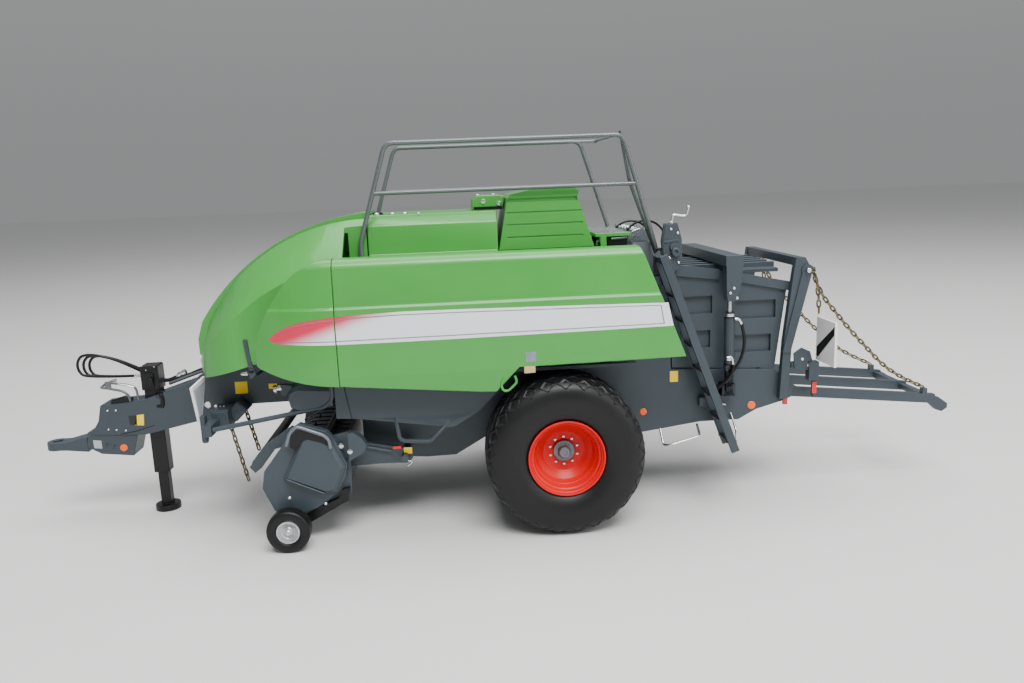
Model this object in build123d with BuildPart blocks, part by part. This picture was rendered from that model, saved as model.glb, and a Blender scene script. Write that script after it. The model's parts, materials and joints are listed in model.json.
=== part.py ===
from build123d import *
import math
import os

# Large square baler, built as a 1:32 collector's model of a towed farm machine.
# Millimetres. +X points to the rear of the machine, where the bale leaves, +Y to its right-hand
# side and +Z up. The origin lies on the floor, under the middle of the overall length.

os.makedirs("parts", exist_ok=True)

# ---- driving dimensions -------------------------------------------------------------------
SIDES = (("left", -1), ("right", 1))

hitch_x = -154.5  # tip of the hitch tongue
eye_radius = 1.6  # hole for the drawbar pin
eye_z = 25.3
eye_height = 2.8
running_gap = 0.05  # radial clearance of a shaft in its hole
part_gap = 0.3  # clearance between neighbours that move or are fitted separately

# main wheels
axle_x = 20.0
tyre_radius = 25.0
tyre_half_width = 11.0
wheel_track_half = 35.5
rim_seat_radius = 11.2
rim_flange_radius = 12.0
rim_half_width = 9.4
rim_disc_offset = 0.4  # the disc stands this far outside the tyre's middle plane
rim_disc_thickness = 0.9
wheel_facets = 36  # flats round each main wheel
hub_radius = 2.45
stub_radius = 1.5

# bale chamber and the chassis plates beside it
chamber_half = 17.6  # inside half width
chamber_floor_z = 36.0
chamber_roof_z = 76.0
chamber_wall = 1.2
chamber_front_x = -45.0
chamber_split_x = 58.0  # the fixed chamber ends here and the sprung doors begin
chamber_end_x = 97.0
plate_inner = 20.0
plate_wall = 1.2

# covers
cover_wall = 1.0
door_hinge_y = 34.5
door_hinge_z = 87.4
door_top_z = 88.2
door_reach = 42.8  # outer face of the side doors
door_seam_x = -47.0  # the curved nose panel is split from the long door here
door_rear_x = 57.4
door_seam = 0.12
nose_plan_radius = 50.0
deck_z = 87.0
deck_half = 33.3
roof_half = 17.6
roof_top_z = 99.6
roof_front_x = -38.4
hood_front_x = 3.2  # raised hood over the knotters
hood_rear_x = 34.0
nose_half = 31.0  # half width of the front hood
platform_rear_x = 46.0

# drawbar and jack
drawbar_half = 5.0
jack_x = -116.6
jack_tube = 5.2
jack_leg = 3.4
jack_leg_gap = 0.2
jack_tube_bottom_z = 14.0
jack_top_z = 51.8
jack_head_half = 3.0
jack_head_bottom_z = 43.6
jack_foot_thickness = 2.0

# front frame
frame_half = 13.6
frame_front_x = -97.0
crossbar_x = -89.6
crossbar_half_depth = 1.4
crossbar_half = 34.4

# pickup
pivot_x = -30.0
pivot_z = 23.5
pivot_radius = 1.2
reel_x = -61.5
reel_z = 21.0
reel_core_radius = 3.4
reel_shaft_radius = 1.2
tine_radius = 9.4
tine_pitch = 5.0
tine_rows = 4
tine_count = 12
band_radius = 8.0
pickup_half = 33.0
shield_outer = 39.0
gauge_x = -65.6
gauge_radius = 6.7
gauge_track_half = 42.4
gauge_half_width = 2.6
gauge_axle_radius = 0.8

# rear arch and chute
post_inner = 21.6
post_width = 2.4
chute_x = 96.5
chute_z = 35.6
chute_pin_radius = 0.9
chute_beam_y = 18.4
chute_beam_width = 2.0
chute_beam_height = 3.2
chute_end_x = 150.0
chute_drop = 5.6  # how far the chute falls from its pivot to its end bar

# rails and ladder
rail_radius = 0.75
rail_half = 19.0
rail_top_z = 121.6
rail_mid_z = 106.4
rail_rear_x = 42.0  # cross tube at the rear of the top rails
ladder_inner = 23.4
ladder_outer = 34.0


# ---- shared helpers -----------------------------------------------------------------------
def keep(part, name):
    """Labels a finished piece and writes it as one sub-part."""
    part.label = name
    export_step(part, f"parts/{name}.step")


def across(side, inner, outer):
    """Side-view plane and width for material between two distances from the centre line."""
    return Plane.XZ.offset(-max(side * inner, side * outer)), outer - inner


def slab(points, side, inner, outer, mode=Mode.ADD):
    """A flat piece cut to a side-view outline, between two distances from the centre line."""
    plane, width = across(side, inner, outer)
    with BuildSketch(plane) as outline:
        Polygon(*points, align=None)
    extrude(outline.sketch, amount=width, mode=mode)


def block(low, high, mode=Mode.ADD):
    """A square-edged block between two corners."""
    size = [b - a for a, b in zip(low, high)]
    with Locations(tuple((a + b) / 2 for a, b in zip(low, high))):
        Box(*size, mode=mode)


def crossways(x, z, radius, low, high, mode=Mode.ADD):
    """A cylinder that lies across the machine."""
    with Locations(Location((x, (low + high) / 2, z), (90, 0, 0))):
        Cylinder(radius, abs(high - low), mode=mode)


def tube(points, radius, bend):
    """A thin rod of eight flats, bent along a line of points."""
    with BuildLine() as path:
        if bend:
            FilletPolyline(*points, radius=bend)
        else:
            Polyline(*points)
    line = path.wires()[0]
    with BuildSketch(Plane(origin=line @ 0, z_dir=line % 0)) as section:
        RegularPolygon(radius, 8)
    sweep(section.sketch, path=line)


def stacked(stations, centre, side, facets, mode=Mode.ADD):
    """A wheel-like form of flats about a crosswise axis, from (outward, radius) stations in order."""
    rings = []
    for outward, radius in stations:
        y = centre[1] + side * outward
        ring = []
        for step in range(facets):
            turn = 2 * math.pi * step / facets
            ring.append((centre[0] + radius * math.cos(turn), y, centre[2] + radius * math.sin(turn)))
        rings.append(ring)
    outlines = [rings[0], rings[-1]]
    for near, far in zip(rings, rings[1:]):
        for step in range(facets):
            outlines.append([near[step], near[step - 1], far[step - 1], far[step]])
    flats = [Face(Wire.make_polygon(corners)) for corners in outlines]
    add(Solid(Shell(flats)), mode=mode)


def boss(x, z, radius, low, high, facets=12):
    """A short rod of flats that lies across the machine."""
    stacked([(low, radius), (high, radius)], (x, 0.0, z), 1, facets)


def upright(x, y, radius, low_z, high_z, facets=12):
    """A standing rod of flats."""
    with BuildSketch(Plane.XY.offset(low_z)) as section:
        with Locations((x, y)):
            RegularPolygon(radius, facets)
    extrude(section.sketch, amount=high_z - low_z)


# ---- main wheels --------------------------------------------------------------------------
def tyre_stations(radius, half, seat):
    """Wide flotation tyre: flat crown, round shoulders and full sidewalls."""
    depth = radius - seat
    upper = (  # share of the half width, share of the section height
        (0.76, 0.03),
        (1.00, 0.46),
        (0.96, 0.82),
        (0.75, 1.0),
    )
    inner = [(-half * w, seat + depth * h) for w, h in upper]
    outer = [(half * w, seat + depth * h) for w, h in reversed(upper)]
    return inner + outer


rim_barrel = [  # (outward, radius) of the band that carries the tyre, between its two flanges
    (-rim_half_width, rim_flange_radius),
    (-rim_half_width + 0.7, rim_flange_radius),
    (-rim_half_width + 0.9, rim_seat_radius),
    (rim_half_width - 0.9, rim_seat_radius),
    (rim_half_width - 0.7, rim_flange_radius),
    (rim_half_width, rim_flange_radius),
]
rim_dish = [  # the open outer side, down to the disc
    (rim_disc_offset, 6.6),
    (rim_disc_offset + 1.4, 7.6),
    (rim_disc_offset + 1.8, 8.9),
    (rim_half_width - 4.2, 9.6),
    (rim_half_width - 0.5, 10.8),
    (rim_half_width + 0.1, 11.4),
]
rim_back = [  # the open inner side
    (-rim_half_width - 0.1, rim_seat_radius - 0.4),
    (rim_disc_offset - 2.6, rim_seat_radius - 1.5),
    (rim_disc_offset - rim_disc_thickness, 7.4),
]
hub_depth = 4.0  # how far the hub reaches inwards of the tyre's middle plane
hub_bore_end = 1.9  # the bore for the stub axle is blind and ends here
hub_flange = [(rim_disc_offset, 3.4), (rim_disc_offset + 1.1, 3.4)]
hub_cap = [(rim_disc_offset + 0.5, 1.9), (rim_disc_offset + 1.1, 1.9), (rim_disc_offset + 3.2, 1.6)]
for name, side in SIDES:
    centre = (axle_x, side * wheel_track_half, tyre_radius)
    seat = [(-tyre_half_width, rim_seat_radius), (tyre_half_width, rim_seat_radius)]
    section = tyre_stations(tyre_radius, tyre_half_width, rim_seat_radius)
    with BuildPart() as tyre:
        stacked(section, centre, side, wheel_facets)
        stacked(seat, centre, side, wheel_facets, Mode.SUBTRACT)
    keep(tyre.part, f"tyre_{name}")
    with BuildPart() as rim:
        stacked(rim_barrel, centre, side, wheel_facets)
        stacked(rim_dish, centre, side, wheel_facets, Mode.SUBTRACT)
        stacked(rim_back, centre, side, wheel_facets, Mode.SUBTRACT)
        low, high = sorted((centre[1] - side * 2.0, centre[1] + side * 2.0))
        crossways(axle_x, tyre_radius, hub_radius + running_gap, low, high, Mode.SUBTRACT)
    keep(rim.part, f"rim_{name}")
    with BuildPart() as hub:
        stacked(hub_flange, centre, side, 24)
        stacked(hub_cap, centre, side, 16)
        low, high = sorted((centre[1] - side * hub_depth, centre[1] + side * (rim_disc_offset + 0.2)))
        crossways(axle_x, tyre_radius, hub_radius, low, high)
        low, high = sorted((centre[1] - side * (hub_depth + 1), centre[1] + side * hub_bore_end))
        crossways(axle_x, tyre_radius, stub_radius + running_gap, low, high, Mode.SUBTRACT)
    keep(hub.part, f"hub_{name}")

with BuildPart() as axle:
    block((axle_x - 2.4, -plate_inner, tyre_radius - 2.4), (axle_x + 2.4, plate_inner, tyre_radius + 2.4))
    reach = wheel_track_half + 1.5
    crossways(axle_x, tyre_radius, stub_radius, -reach, reach)
    for name, side in SIDES:
        collar = side * (plate_inner + plate_wall)
        boss(axle_x, tyre_radius, 3.0, collar, collar + side * 2.0, 20)
keep(axle.part, "axle")

# ---- chassis ------------------------------------------------------------------------------
plate_outline = [
    (-44.0, 34.0),
    (-44.0, 60.0),
    (chamber_split_x, 60.0),
    (chamber_split_x, 45.6),
    (93.0, 43.8),
    (99.6, 38.6),
    (98.8, 34.0),
    (95.8, 32.8),
    (87.0, 30.4),
    (81.0, 27.2),
    (68.0, 27.2),
    (49.5, 24.8),
    (16.0, 20.6),
    (2.0, 26.0),
    (-10.0, 33.0),
]
with BuildPart() as chassis_plates:
    for name, side in SIDES:
        slab(plate_outline, side, plate_inner, plate_inner + plate_wall)
    crossways(axle_x, tyre_radius, stub_radius, -30, 30, mode=Mode.SUBTRACT)
    crossways(chute_x, chute_z, chute_pin_radius + running_gap, -30, 30, mode=Mode.SUBTRACT)
keep(chassis_plates.part, "chassis_plates")

skirt_y = 33.0
skirt_wall = 1.0
skirt_outline = [
    (-50.0, 50.2),
    (-50.0, 38.6),
    (-43.6, 38.2),
    (-14.0, 33.8),
    (-6.0, 38.6),
    (0.5, 45.0),
    (0.5, 50.2),
]
skirt_fold = [(-47.6, 51.0), (-45.6, 38.4), (-45.0, 38.4), (-47.0, 51.0)]
with BuildPart() as side_skirts:
    for name, side in SIDES:
        slab(skirt_outline, side, skirt_y, skirt_y + skirt_wall)
        slab(skirt_fold, side, skirt_y + skirt_wall - 0.3, skirt_y + skirt_wall, Mode.SUBTRACT)
        for x in (-40.0, -8.0):
            inner = plate_inner + plate_wall
            low, high = sorted((side * inner, side * skirt_y))
            block((x, low, 46.0), (x + 3.0, high, 49.0))
        y = side * (skirt_y + 0.5)
        tube(
            [(-32.0, y, 38.0), (-31.0, y, 30.2), (-21.6, y, 29.6), (-15.4, y, 35.6)],
            0.7,
            2.0,
        )
keep(side_skirts.part, "side_skirts")

# ---- bale chamber -------------------------------------------------------------------------
outer_half = chamber_half + chamber_wall
with BuildPart() as bale_chamber:
    block(
        (chamber_front_x, -outer_half, chamber_floor_z - chamber_wall),
        (chamber_split_x, outer_half, chamber_roof_z + chamber_wall),
    )
    block(
        (chamber_front_x + chamber_wall, -chamber_half, chamber_floor_z),
        (chamber_split_x, chamber_half, chamber_roof_z),
        Mode.SUBTRACT,
    )
keep(bale_chamber.part, "bale_chamber")

with BuildPart() as chamber_floor:
    block(
        (chamber_split_x, -plate_inner, chamber_floor_z - chamber_wall),
        (chamber_end_x - 3.0, plate_inner, chamber_floor_z),
    )
    for y in (-12.0, -4.0, 4.0, 12.0):
        block(
            (chamber_split_x, y - 0.6, chamber_floor_z - 2.8),
            (chamber_end_x - 3.0, y + 0.6, chamber_floor_z - chamber_wall),
        )
keep(chamber_floor.part, "chamber_floor")

# Each sprung side door is a thick plate with pressed pockets and a proud top rail.
door_plate_outline = [
    (chamber_split_x + 0.6, 46.0),
    (93.2, 44.2),
    (chamber_end_x, 72.6),
    (78.0, 77.0),
    (chamber_split_x + 0.6, 80.2),
]
door_pockets = (  # low x, high x, low z, high z
    (61.2, 72.0, 63.6, 69.4),
    (61.2, 71.4, 52.2, 58.0),
    (79.6, 93.2, 61.2, 67.2),
    (79.6, 91.8, 50.0, 55.8),
)
door_rails = (
    [(59.0, 76.6), (74.0, 74.6), (74.0, 78.0), (59.0, 80.2)],
    [(80.2, 73.6), (98.4, 69.8), (98.4, 72.8), (80.2, 76.6)],
)
plate_outer = chamber_half + 2.8
with BuildPart() as density_doors:
    for name, side in SIDES:
        slab(door_plate_outline, side, chamber_half, plate_outer)
        for outline in door_rails:
            slab(outline, side, plate_outer, plate_outer + 0.9)
        for low_x, high_x, low_z, high_z in door_pockets:
            outline = [(low_x, low_z), (high_x, low_z), (high_x, high_z), (low_x, high_z)]
            slab(outline, side, plate_outer - 1.3, plate_outer, Mode.SUBTRACT)
keep(density_doors.part, "density_doors")

with BuildPart() as density_top:
    block(
        (chamber_split_x + 1.0, -chamber_half + 0.2, chamber_roof_z),
        (chamber_end_x - 2.0, chamber_half - 0.2, chamber_roof_z + 1.2),
    )
    for y in (-13.0, -6.5, 0.0, 6.5, 13.0):
        block(
            (chamber_split_x + 1.0, y - 0.7, chamber_roof_z + 1.2),
            (chamber_end_x - 2.0, y + 0.7, chamber_roof_z + 3.0),
        )
keep(density_top.part, "density_top")

cylinder_x = 76.2
cylinder_y = 25.2
cheek_gap = 0.95  # from the cylinder's middle plane to the cheek on each side
yoke_outer = cylinder_y + cheek_gap + 0.8
with BuildPart() as density_yoke:
    block((74.4, -yoke_outer, 79.4), (80.0, yoke_outer, 82.8))
    for name, side in SIDES:
        cheek = [(74.6, 79.4), (80.0, 79.4), (79.4, 73.6), (77.6, 68.2), (75.0, 68.2), (74.6, 73.0)]
        slab(cheek, side, cylinder_y + cheek_gap, yoke_outer)
        slab(cheek, side, cylinder_y - cheek_gap - 0.8, cylinder_y - cheek_gap)
keep(density_yoke.part, "density_yoke")

with BuildPart() as density_cylinders:
    for name, side in SIDES:
        y = side * cylinder_y
        for radius, low_z, high_z in ((1.7, 47.4, 63.0), (1.45, 63.0, 64.6), (0.75, 64.6, 69.0)):
            upright(cylinder_x, y, radius, low_z, high_z, 16)
        boss(cylinder_x, 70.0, 1.3, y - 0.85, y + 0.85)
        boss(cylinder_x, 46.2, 1.6, y - 1.2, y + 1.2)
        block((cylinder_x - 1.1, y - 1.2, 38.4), (cylinder_x + 1.1, y + 1.2, 46.4))
        root = side * (plate_inner + plate_wall)
        low, high = sorted((root, y))
        block((cylinder_x - 2.2, low, 36.6), (cylinder_x + 2.2, high, 40.6))
keep(density_cylinders.part, "density_cylinders")

# ---- rear arch and its marker plates ------------------------------------------------------
post_outline = [
    (93.8, 34.2),
    (96.6, 34.2),
    (97.6, 53.0),
    (101.6, 74.4),
    (102.6, 78.6),
    (101.4, 80.9),
    (98.4, 80.9),
    (97.6, 76.0),
    (94.9, 53.6),
]
arch_bottom_z = 78.2
arch_top_z = 80.9
lug_radius = 1.9
lug_x = 102.0  # eye at the top of each post, where the chute's chain hangs
lug_z = 76.8
with BuildPart() as rear_arch:
    for name, side in SIDES:
        slab(post_outline, side, post_inner, post_inner + post_width)
        root = side * (plate_inner + plate_wall)
        boss(95.4, 36.6, 1.3, root, side * post_inner)
        outer = side * (post_inner + post_width)
        boss(lug_x, lug_z, lug_radius, side * (post_inner + 0.8), outer + side * 0.5, 20)
        boss(lug_x, lug_z, 0.7, outer + side * 0.5, outer + side * 0.9)
        strap = [(94.4, 50.0), (97.0, 50.0), (103.4, 75.6), (100.6, 77.4)]
        slab(strap, side, post_inner + post_width, post_inner + post_width + 0.5)
    block((98.4, -post_inner, arch_bottom_z), (101.4, post_inner, arch_top_z))
keep(rear_arch.part, "rear_arch")

marker_x = 106.4
post_back_x = 97.3  # rear edge of the post at the height of the bracket
with BuildPart() as rear_markers:
    for name, side in SIDES:
        low, high = sorted((side * 22.4, side * 36.0))
        block((marker_x, low, 46.8), (marker_x + 0.8, high, 61.2))
        low, high = sorted((side * 22.4, side * 25.4))
        block((marker_x - 3.4, low, 40.2), (marker_x, high, 46.6))
        low, high = sorted((side * 22.4, side * 24.0))
        block((post_back_x + part_gap, low, 44.6), (marker_x - 3.4, high, 46.6))
        block((marker_x - 1.4, low, 34.4), (marker_x - 0.4, high, 40.2))
keep(rear_markers.part, "rear_markers")

# ---- covers -------------------------------------------------------------------------------
def door_section(side, shift):
    """Closed section of a side door, moved in and down by shift to give the inside form."""
    round_top = 3.2
    reach = door_reach - 1.4
    corner = (reach - round_top, door_top_z)
    tip = (reach, door_top_z - round_top)
    sink = round_top * (1 - math.sin(math.pi / 4))
    mid = (reach - sink, door_top_z - sink)
    bottom_z = 46.0 - 3.0
    rows = [  # half width, height
        tip,
        (reach + 0.8, 74.4),
        (door_reach, 73.6),
        (door_reach, 53.4),
        (door_reach - 1.6, bottom_z),
        (20.0, bottom_z),
        (20.0, door_top_z),
        corner,
    ]

    def place(point):
        return (side * (point[0] - shift), point[1] - shift)

    with BuildLine() as rim_line:
        Polyline(*[place(p) for p in rows])
        ThreePointArc(place(corner), place(mid), place(tip))
    make_face(rim_line.edges())


def door_outline():
    """Side view of a whole side door, from its curved nose to its raked rear edge."""
    with BuildLine() as rim_line:
        ThreePointArc((-47.5, door_top_z), (-56.4, 85.6), (-62.5, 80.0))
        ThreePointArc((-62.5, 80.0), (-68.4, 71.4), (-72.6, 60.6))
        ThreePointArc((-72.6, 60.6), (-72.3, 57.4), (-69.6, 55.6))
        ThreePointArc((-69.6, 55.6), (-60.3, 52.5), (-48.7, 50.7))
        Polyline(
            (-48.7, 50.7),
            (-5.0, 46.6),
            (-0.4, 46.4),
            (6.6, 53.8),
            (door_rear_x, 54.5),
            (44.2, door_top_z),
            (-47.5, door_top_z),
        )
    make_face(rim_line.edges())


def trim_to_flange(side):
    """Cuts the shell back to the door's own outline and hinge line."""
    with BuildSketch(Plane.XZ) as side_view:
        door_outline()
    extrude(side_view.sketch, amount=60, both=True, mode=Mode.INTERSECT)
    hinge_side = door_hinge_y - 0.5
    low, high = sorted((side * -60.0, side * hinge_side))
    block((-90, low, 30), (90, high, 110), Mode.SUBTRACT)


for name, side in SIDES:
    with BuildPart() as door_panel:
        start = door_seam_x + door_seam / 2
        with BuildSketch(Plane.YZ.offset(start)):
            door_section(side, 0.0)
        extrude(amount=door_rear_x - start)
        with BuildSketch(Plane.YZ.offset(start - 1)):
            door_section(side, cover_wall)
        extrude(amount=door_rear_x - start + 2, mode=Mode.SUBTRACT)
        trim_to_flange(side)
    keep(door_panel.part, f"door_panel_{name}")

    with BuildPart() as door_nose:
        plane = Plane.YZ.offset(door_seam_x - door_seam / 2)
        axis = Axis((plane.origin.X, side * (door_reach - nose_plan_radius), 0), (0, 0, side))
        with BuildSketch(plane):
            door_section(side, 0.0)
        revolve(axis=axis, revolution_arc=30)
        with BuildSketch(plane):
            door_section(side, cover_wall)
        revolve(axis=axis, revolution_arc=31, mode=Mode.SUBTRACT)
        trim_to_flange(side)
    keep(door_nose.part, f"door_nose_{name}")


hood_rear = roof_front_x - part_gap
flare_rear_x = -45.4  # the wide part of the hood ends here, behind the doors' noses
strip_half = 13.0
crease_half = 15.5
flare_slope = 0.8  # fall of the flared side for each unit of width
hood_front = -97.6


def hood_arc(points, inset):
    """Region under one rounded side-view outline of the hood."""
    start, middle, end = [(x, z - inset) if index == 0 else (x + 0.7 * inset, z - 0.7 * inset)
                          for index, (x, z) in enumerate(points)]
    with BuildLine() as rim_line:
        ThreePointArc(start, middle, end)
        Polyline(end, (end[0] - 9.0, 40.0), (start[0], 40.0), start)
    make_face(rim_line.edges())


def hood_form(inset, mode):
    """Nose of the machine: a crowned strip, two flared sides, a plan outline and a cut underside."""
    strip = ((hood_rear, 100.6), (-66.0, 93.0), (-94.0, 67.6))
    crease = ((hood_rear, 98.6), (-67.4, 91.3), (-91.0, 67.6))
    with BuildPart(mode=Mode.PRIVATE) as form:
        with BuildSketch(Plane.XZ):
            hood_arc(strip, inset)
        extrude(amount=strip_half - inset, both=True)
        with BuildSketch(Plane.XZ):
            hood_arc(crease, inset)
        extrude(amount=crease_half - inset, both=True)
        run = nose_half - crease_half
        for side in (-1, 1):
            with BuildSketch(Plane.XZ.offset(-side * (crease_half - inset))):
                hood_arc(crease, inset)
            extrude(amount=run * math.hypot(1, flare_slope), dir=(0, side, -flare_slope))
        low, high = flare_rear_x + inset, hood_rear + 1
        for side in (-1, 1):
            near, far = sorted((side * (roof_half + 0.4 - inset), side * 60))
            block((low, near, 20), (high, far, 120), Mode.SUBTRACT)
        with BuildSketch(Plane.XY):
            with BuildLine():
                half = nose_half - inset
                corner = (hood_front + 4.4 + inset, 20.0)
                ThreePointArc((corner[0], 20.0), (hood_front + inset, 0.0), (corner[0], -20.0))
                for side in (-1, 1):
                    bend = (hood_front + 7.6 + inset, side * (25.6 - inset))
                    ThreePointArc((corner[0], side * 20.0), bend, (-80.0, side * half))
                Polyline((-80.0, half), (hood_rear, half), (hood_rear, -half), (-80.0, -half))
            make_face()
        extrude(amount=120, mode=Mode.INTERSECT)
        drop = 6 * inset
        with BuildSketch(Plane.XZ):
            Polygon(
                (hood_front + inset, 60.0), (hood_front + 5.6 + inset, 51.4 - drop), (hood_rear, 66.0 - drop),
                (hood_rear, 110.0), (hood_front + inset, 110.0),
                align=None,
            )
        extrude(amount=60, both=True, mode=Mode.INTERSECT)
    add(form.part, mode=mode)


with BuildPart() as front_hood:
    hood_form(0.0, Mode.ADD)
    hood_form(cover_wall, Mode.SUBTRACT)
    chamber_top = chamber_roof_z + chamber_wall + part_gap
    clear = outer_half + part_gap
    block((chamber_front_x - part_gap, -clear, 20), (0, clear, chamber_top), Mode.SUBTRACT)
keep(front_hood.part, "front_hood")


def roof_section(inset):
    """Hat section: a raised middle over the chamber and a low deck on each side."""
    half = roof_half - inset
    top = roof_top_z - inset
    deck = deck_z - inset
    low = deck_z - 1.0 - inset * 2
    Polygon(
        (-deck_half, low), (-deck_half, deck), (-half - 0.4, deck), (-half, top - 3.4),
        (-half + 2.6, top), (half - 2.6, top), (half, top - 3.4), (half + 0.4, deck),
        (deck_half, deck), (deck_half, low),
        align=None,
    )


with BuildPart() as roof:
    with BuildSketch(Plane.YZ.offset(roof_front_x)):
        roof_section(0.0)
    extrude(amount=platform_rear_x - roof_front_x)
    with BuildSketch(Plane.YZ.offset(roof_front_x - 1)):
        roof_section(cover_wall)
    extrude(amount=platform_rear_x - roof_front_x + 2, mode=Mode.SUBTRACT)
    clear = roof_half + 1.4
    block((hood_front_x - part_gap, -clear, 60), (platform_rear_x + 1, clear, 110), Mode.SUBTRACT)
keep(roof.part, "roof")

hood_side_outline = [  # walls that lean in, then an overhanging cap
    (hood_front_x, deck_z),
    (hood_rear_x, deck_z),
    (28.9, 103.2),
    (29.4, 104.8),
    (27.0, 106.4),
    (22.0, 106.8),
    (14.0, 105.8),
    (7.4, 104.4),
    (6.4, 103.2),
]
hood_inner_outline = [
    (hood_front_x + 1.2, deck_z - 1),
    (hood_rear_x - 1.4, deck_z - 1),
    (27.6, 103.2),
    (26.4, 105.0),
    (14.0, 104.4),
    (7.8, 103.0),
]
cap_slot = [(6.2, 101.9), (28.9, 101.9), (28.7, 103.2), (6.6, 103.2)]
hood_half = roof_half - 0.2
with BuildPart() as knotter_hood:
    slab(hood_side_outline, 1, -hood_half, hood_half)
    slab(hood_inner_outline, 1, -hood_half + cover_wall, hood_half - cover_wall, Mode.SUBTRACT)
    for name, side in SIDES:
        slab(cap_slot, side, hood_half - 0.7, hood_half + 1, Mode.SUBTRACT)
        for z in (90.6, 94.6, 98.4):
            step = [(6.0, z), (30.6, z), (30.2, z + 0.5), (6.0, z + 0.5)]
            slab(step, side, hood_half - 0.3, hood_half + 1, Mode.SUBTRACT)
keep(knotter_hood.part, "knotter_hood")

cowl_outline = [
    (-4.8, roof_top_z), (5.3, roof_top_z), (6.1, 103.8), (4.6, 104.4), (-3.4, 104.4), (-4.8, 103.0),
]
cowl_hollow = [
    (-3.8, roof_top_z), (4.3, roof_top_z), (4.9, 103.4), (-3.0, 103.4), (-3.8, 102.6),
]
with BuildPart() as air_cowl:
    slab(cowl_outline, 1, -8.0, 12.0)
    slab(cowl_hollow, 1, -7.0, 11.0, Mode.SUBTRACT)
keep(air_cowl.part, "air_cowl")

with BuildPart() as platform:
    block((hood_rear_x + 0.4, -roof_half, 89.8), (platform_rear_x, roof_half, 91.0))
    for name, side in SIDES:
        low, high = sorted((side * (roof_half - 1.0), side * roof_half))
        block((hood_rear_x + 2.0, low, chamber_roof_z + chamber_wall), (hood_rear_x + 4.0, high, 89.8))
keep(platform.part, "platform")

# ---- knotters, tower and crank ------------------------------------------------------------
with BuildPart() as knotter_stack:
    boss(49.6, 84.4, 0.9, -16.6, 16.6, 8)
    for index in range(6):
        y = -12.5 + 5.0 * index
        stacked([(y - 0.5, 4.0), (y + 0.5, 4.0)], (49.6, 0.0, 84.4), 1, 14)
        hook = [
            (44.4, 77.2), (54.8, 77.2), (55.4, 85.0), (53.6, 91.6),
            (51.6, 88.0), (48.4, 88.0), (47.0, 92.2), (45.4, 86.0),
        ]
        slab(hook, 1, y + 1.2, y + 2.0)
    for y in (-16.6, 15.6):
        block((46.6, y, 77.2), (52.6, y + 1.0, 87.4))
keep(knotter_stack.part, "knotter_stack")

tower_y = 23.0
tower_top_z = 93.6
tower_outline = [
    (55.6, 79.2), (57.2, 77.4), (60.0, 78.4), (61.4, 82.4), (61.2, 88.6), (59.8, tower_top_z),
    (55.6, tower_top_z), (54.6, 88.0),
]
with BuildPart() as control_tower:
    slab(tower_outline, -1, tower_y - 1.4, tower_y)
    stacked([(-tower_y - 0.8, 1.4), (-tower_y, 1.6)], (58.6, 0.0, 86.0), 1, 12)
    stacked([(-tower_y - 0.8, 1.0), (-tower_y, 1.1)], (57.0, 0.0, 81.4), 1, 12)
    block((55.8, -tower_y + 1.4, 77.2), (57.8, -outer_half, 79.6))
    block((55.8, -outer_half, chamber_roof_z + chamber_wall), (57.8, -chamber_half, 79.6))
keep(control_tower.part, "control_tower")

with BuildPart() as crank:
    y = -tower_y + 0.7
    tube([(58.0, y, tower_top_z), (58.4, y, 96.4), (62.6, y, 95.6), (63.6, y, 98.8)], 0.45, 1.0)
keep(crank.part, "crank")

# ---- hand rails and ladder ----------------------------------------------------------------
rail_foot_z = 82.0
with BuildPart() as handrail:
    for name, side in SIDES:
        y = side * rail_half
        rear_top_x = 43.4 if side < 0 else 35.2
        rear_foot = (54.8, y, rail_foot_z) if side < 0 else (45.0, y, 91.0)
        tube(
            [
                (-40.6, y, deck_z),
                (-40.6, y, 91.0),
                (-31.0, y, rail_top_z),
                (rear_top_x, y, rail_top_z),
                rear_foot,
            ],
            rail_radius,
            2.2,
        )
        mid_rear_x = 47.6 if side < 0 else 40.2
        tube([(-35.8, y, rail_mid_z), (mid_rear_x, y, rail_mid_z)], rail_radius - 0.1, 0.0)
    cross_z = rail_top_z - 0.1
    thin = rail_radius - 0.1
    far_corner = (rail_rear_x, rail_half, cross_z)
    tube([(34.0, rail_half, cross_z), far_corner, (rail_rear_x, -rail_half, cross_z)], thin, 2.0)
    inner_y = -rail_half + 2.6
    inner_top = (43.2, inner_y, rail_top_z + 1.4)
    tube([inner_top, (46.0, inner_y, 107.0), (54.8, inner_y, rail_foot_z + 0.8)], thin, 2.0)
    foot_z = rail_foot_z + 0.6
    tube([(54.7, -rail_half, foot_z), (54.7, -chamber_half, foot_z)], thin, 0.0)
    low = (53.6, -chamber_half - 0.4, chamber_roof_z + chamber_wall)
    block(low, (55.6, -chamber_half + 1.6, foot_z + 0.6))
keep(handrail.part, "handrail")

ladder_top = (52.6, 84.4)
ladder_foot = (76.0, 20.2)
ladder_tilt = math.degrees(math.atan2(ladder_top[1] - ladder_foot[1], ladder_foot[0] - ladder_top[0]))
ladder_length = math.dist(ladder_top, ladder_foot)
rail_depth = 2.6


def along_ladder(share, offset=0.0):
    """A point at a share of the way up the ladder, moved square to it."""
    run = (ladder_top[0] - ladder_foot[0], ladder_top[1] - ladder_foot[1])
    square = (-run[1] / ladder_length, run[0] / ladder_length)
    return (
        ladder_foot[0] + run[0] * share + square[0] * offset,
        ladder_foot[1] + run[1] * share + square[1] * offset,
    )


def ladder_strip(low_share, high_share, half_depth):
    """Side view of a strip that runs along the ladder."""
    return [
        along_ladder(low_share, -half_depth),
        along_ladder(low_share, half_depth),
        along_ladder(high_share, half_depth),
        along_ladder(high_share, -half_depth),
    ]


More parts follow.
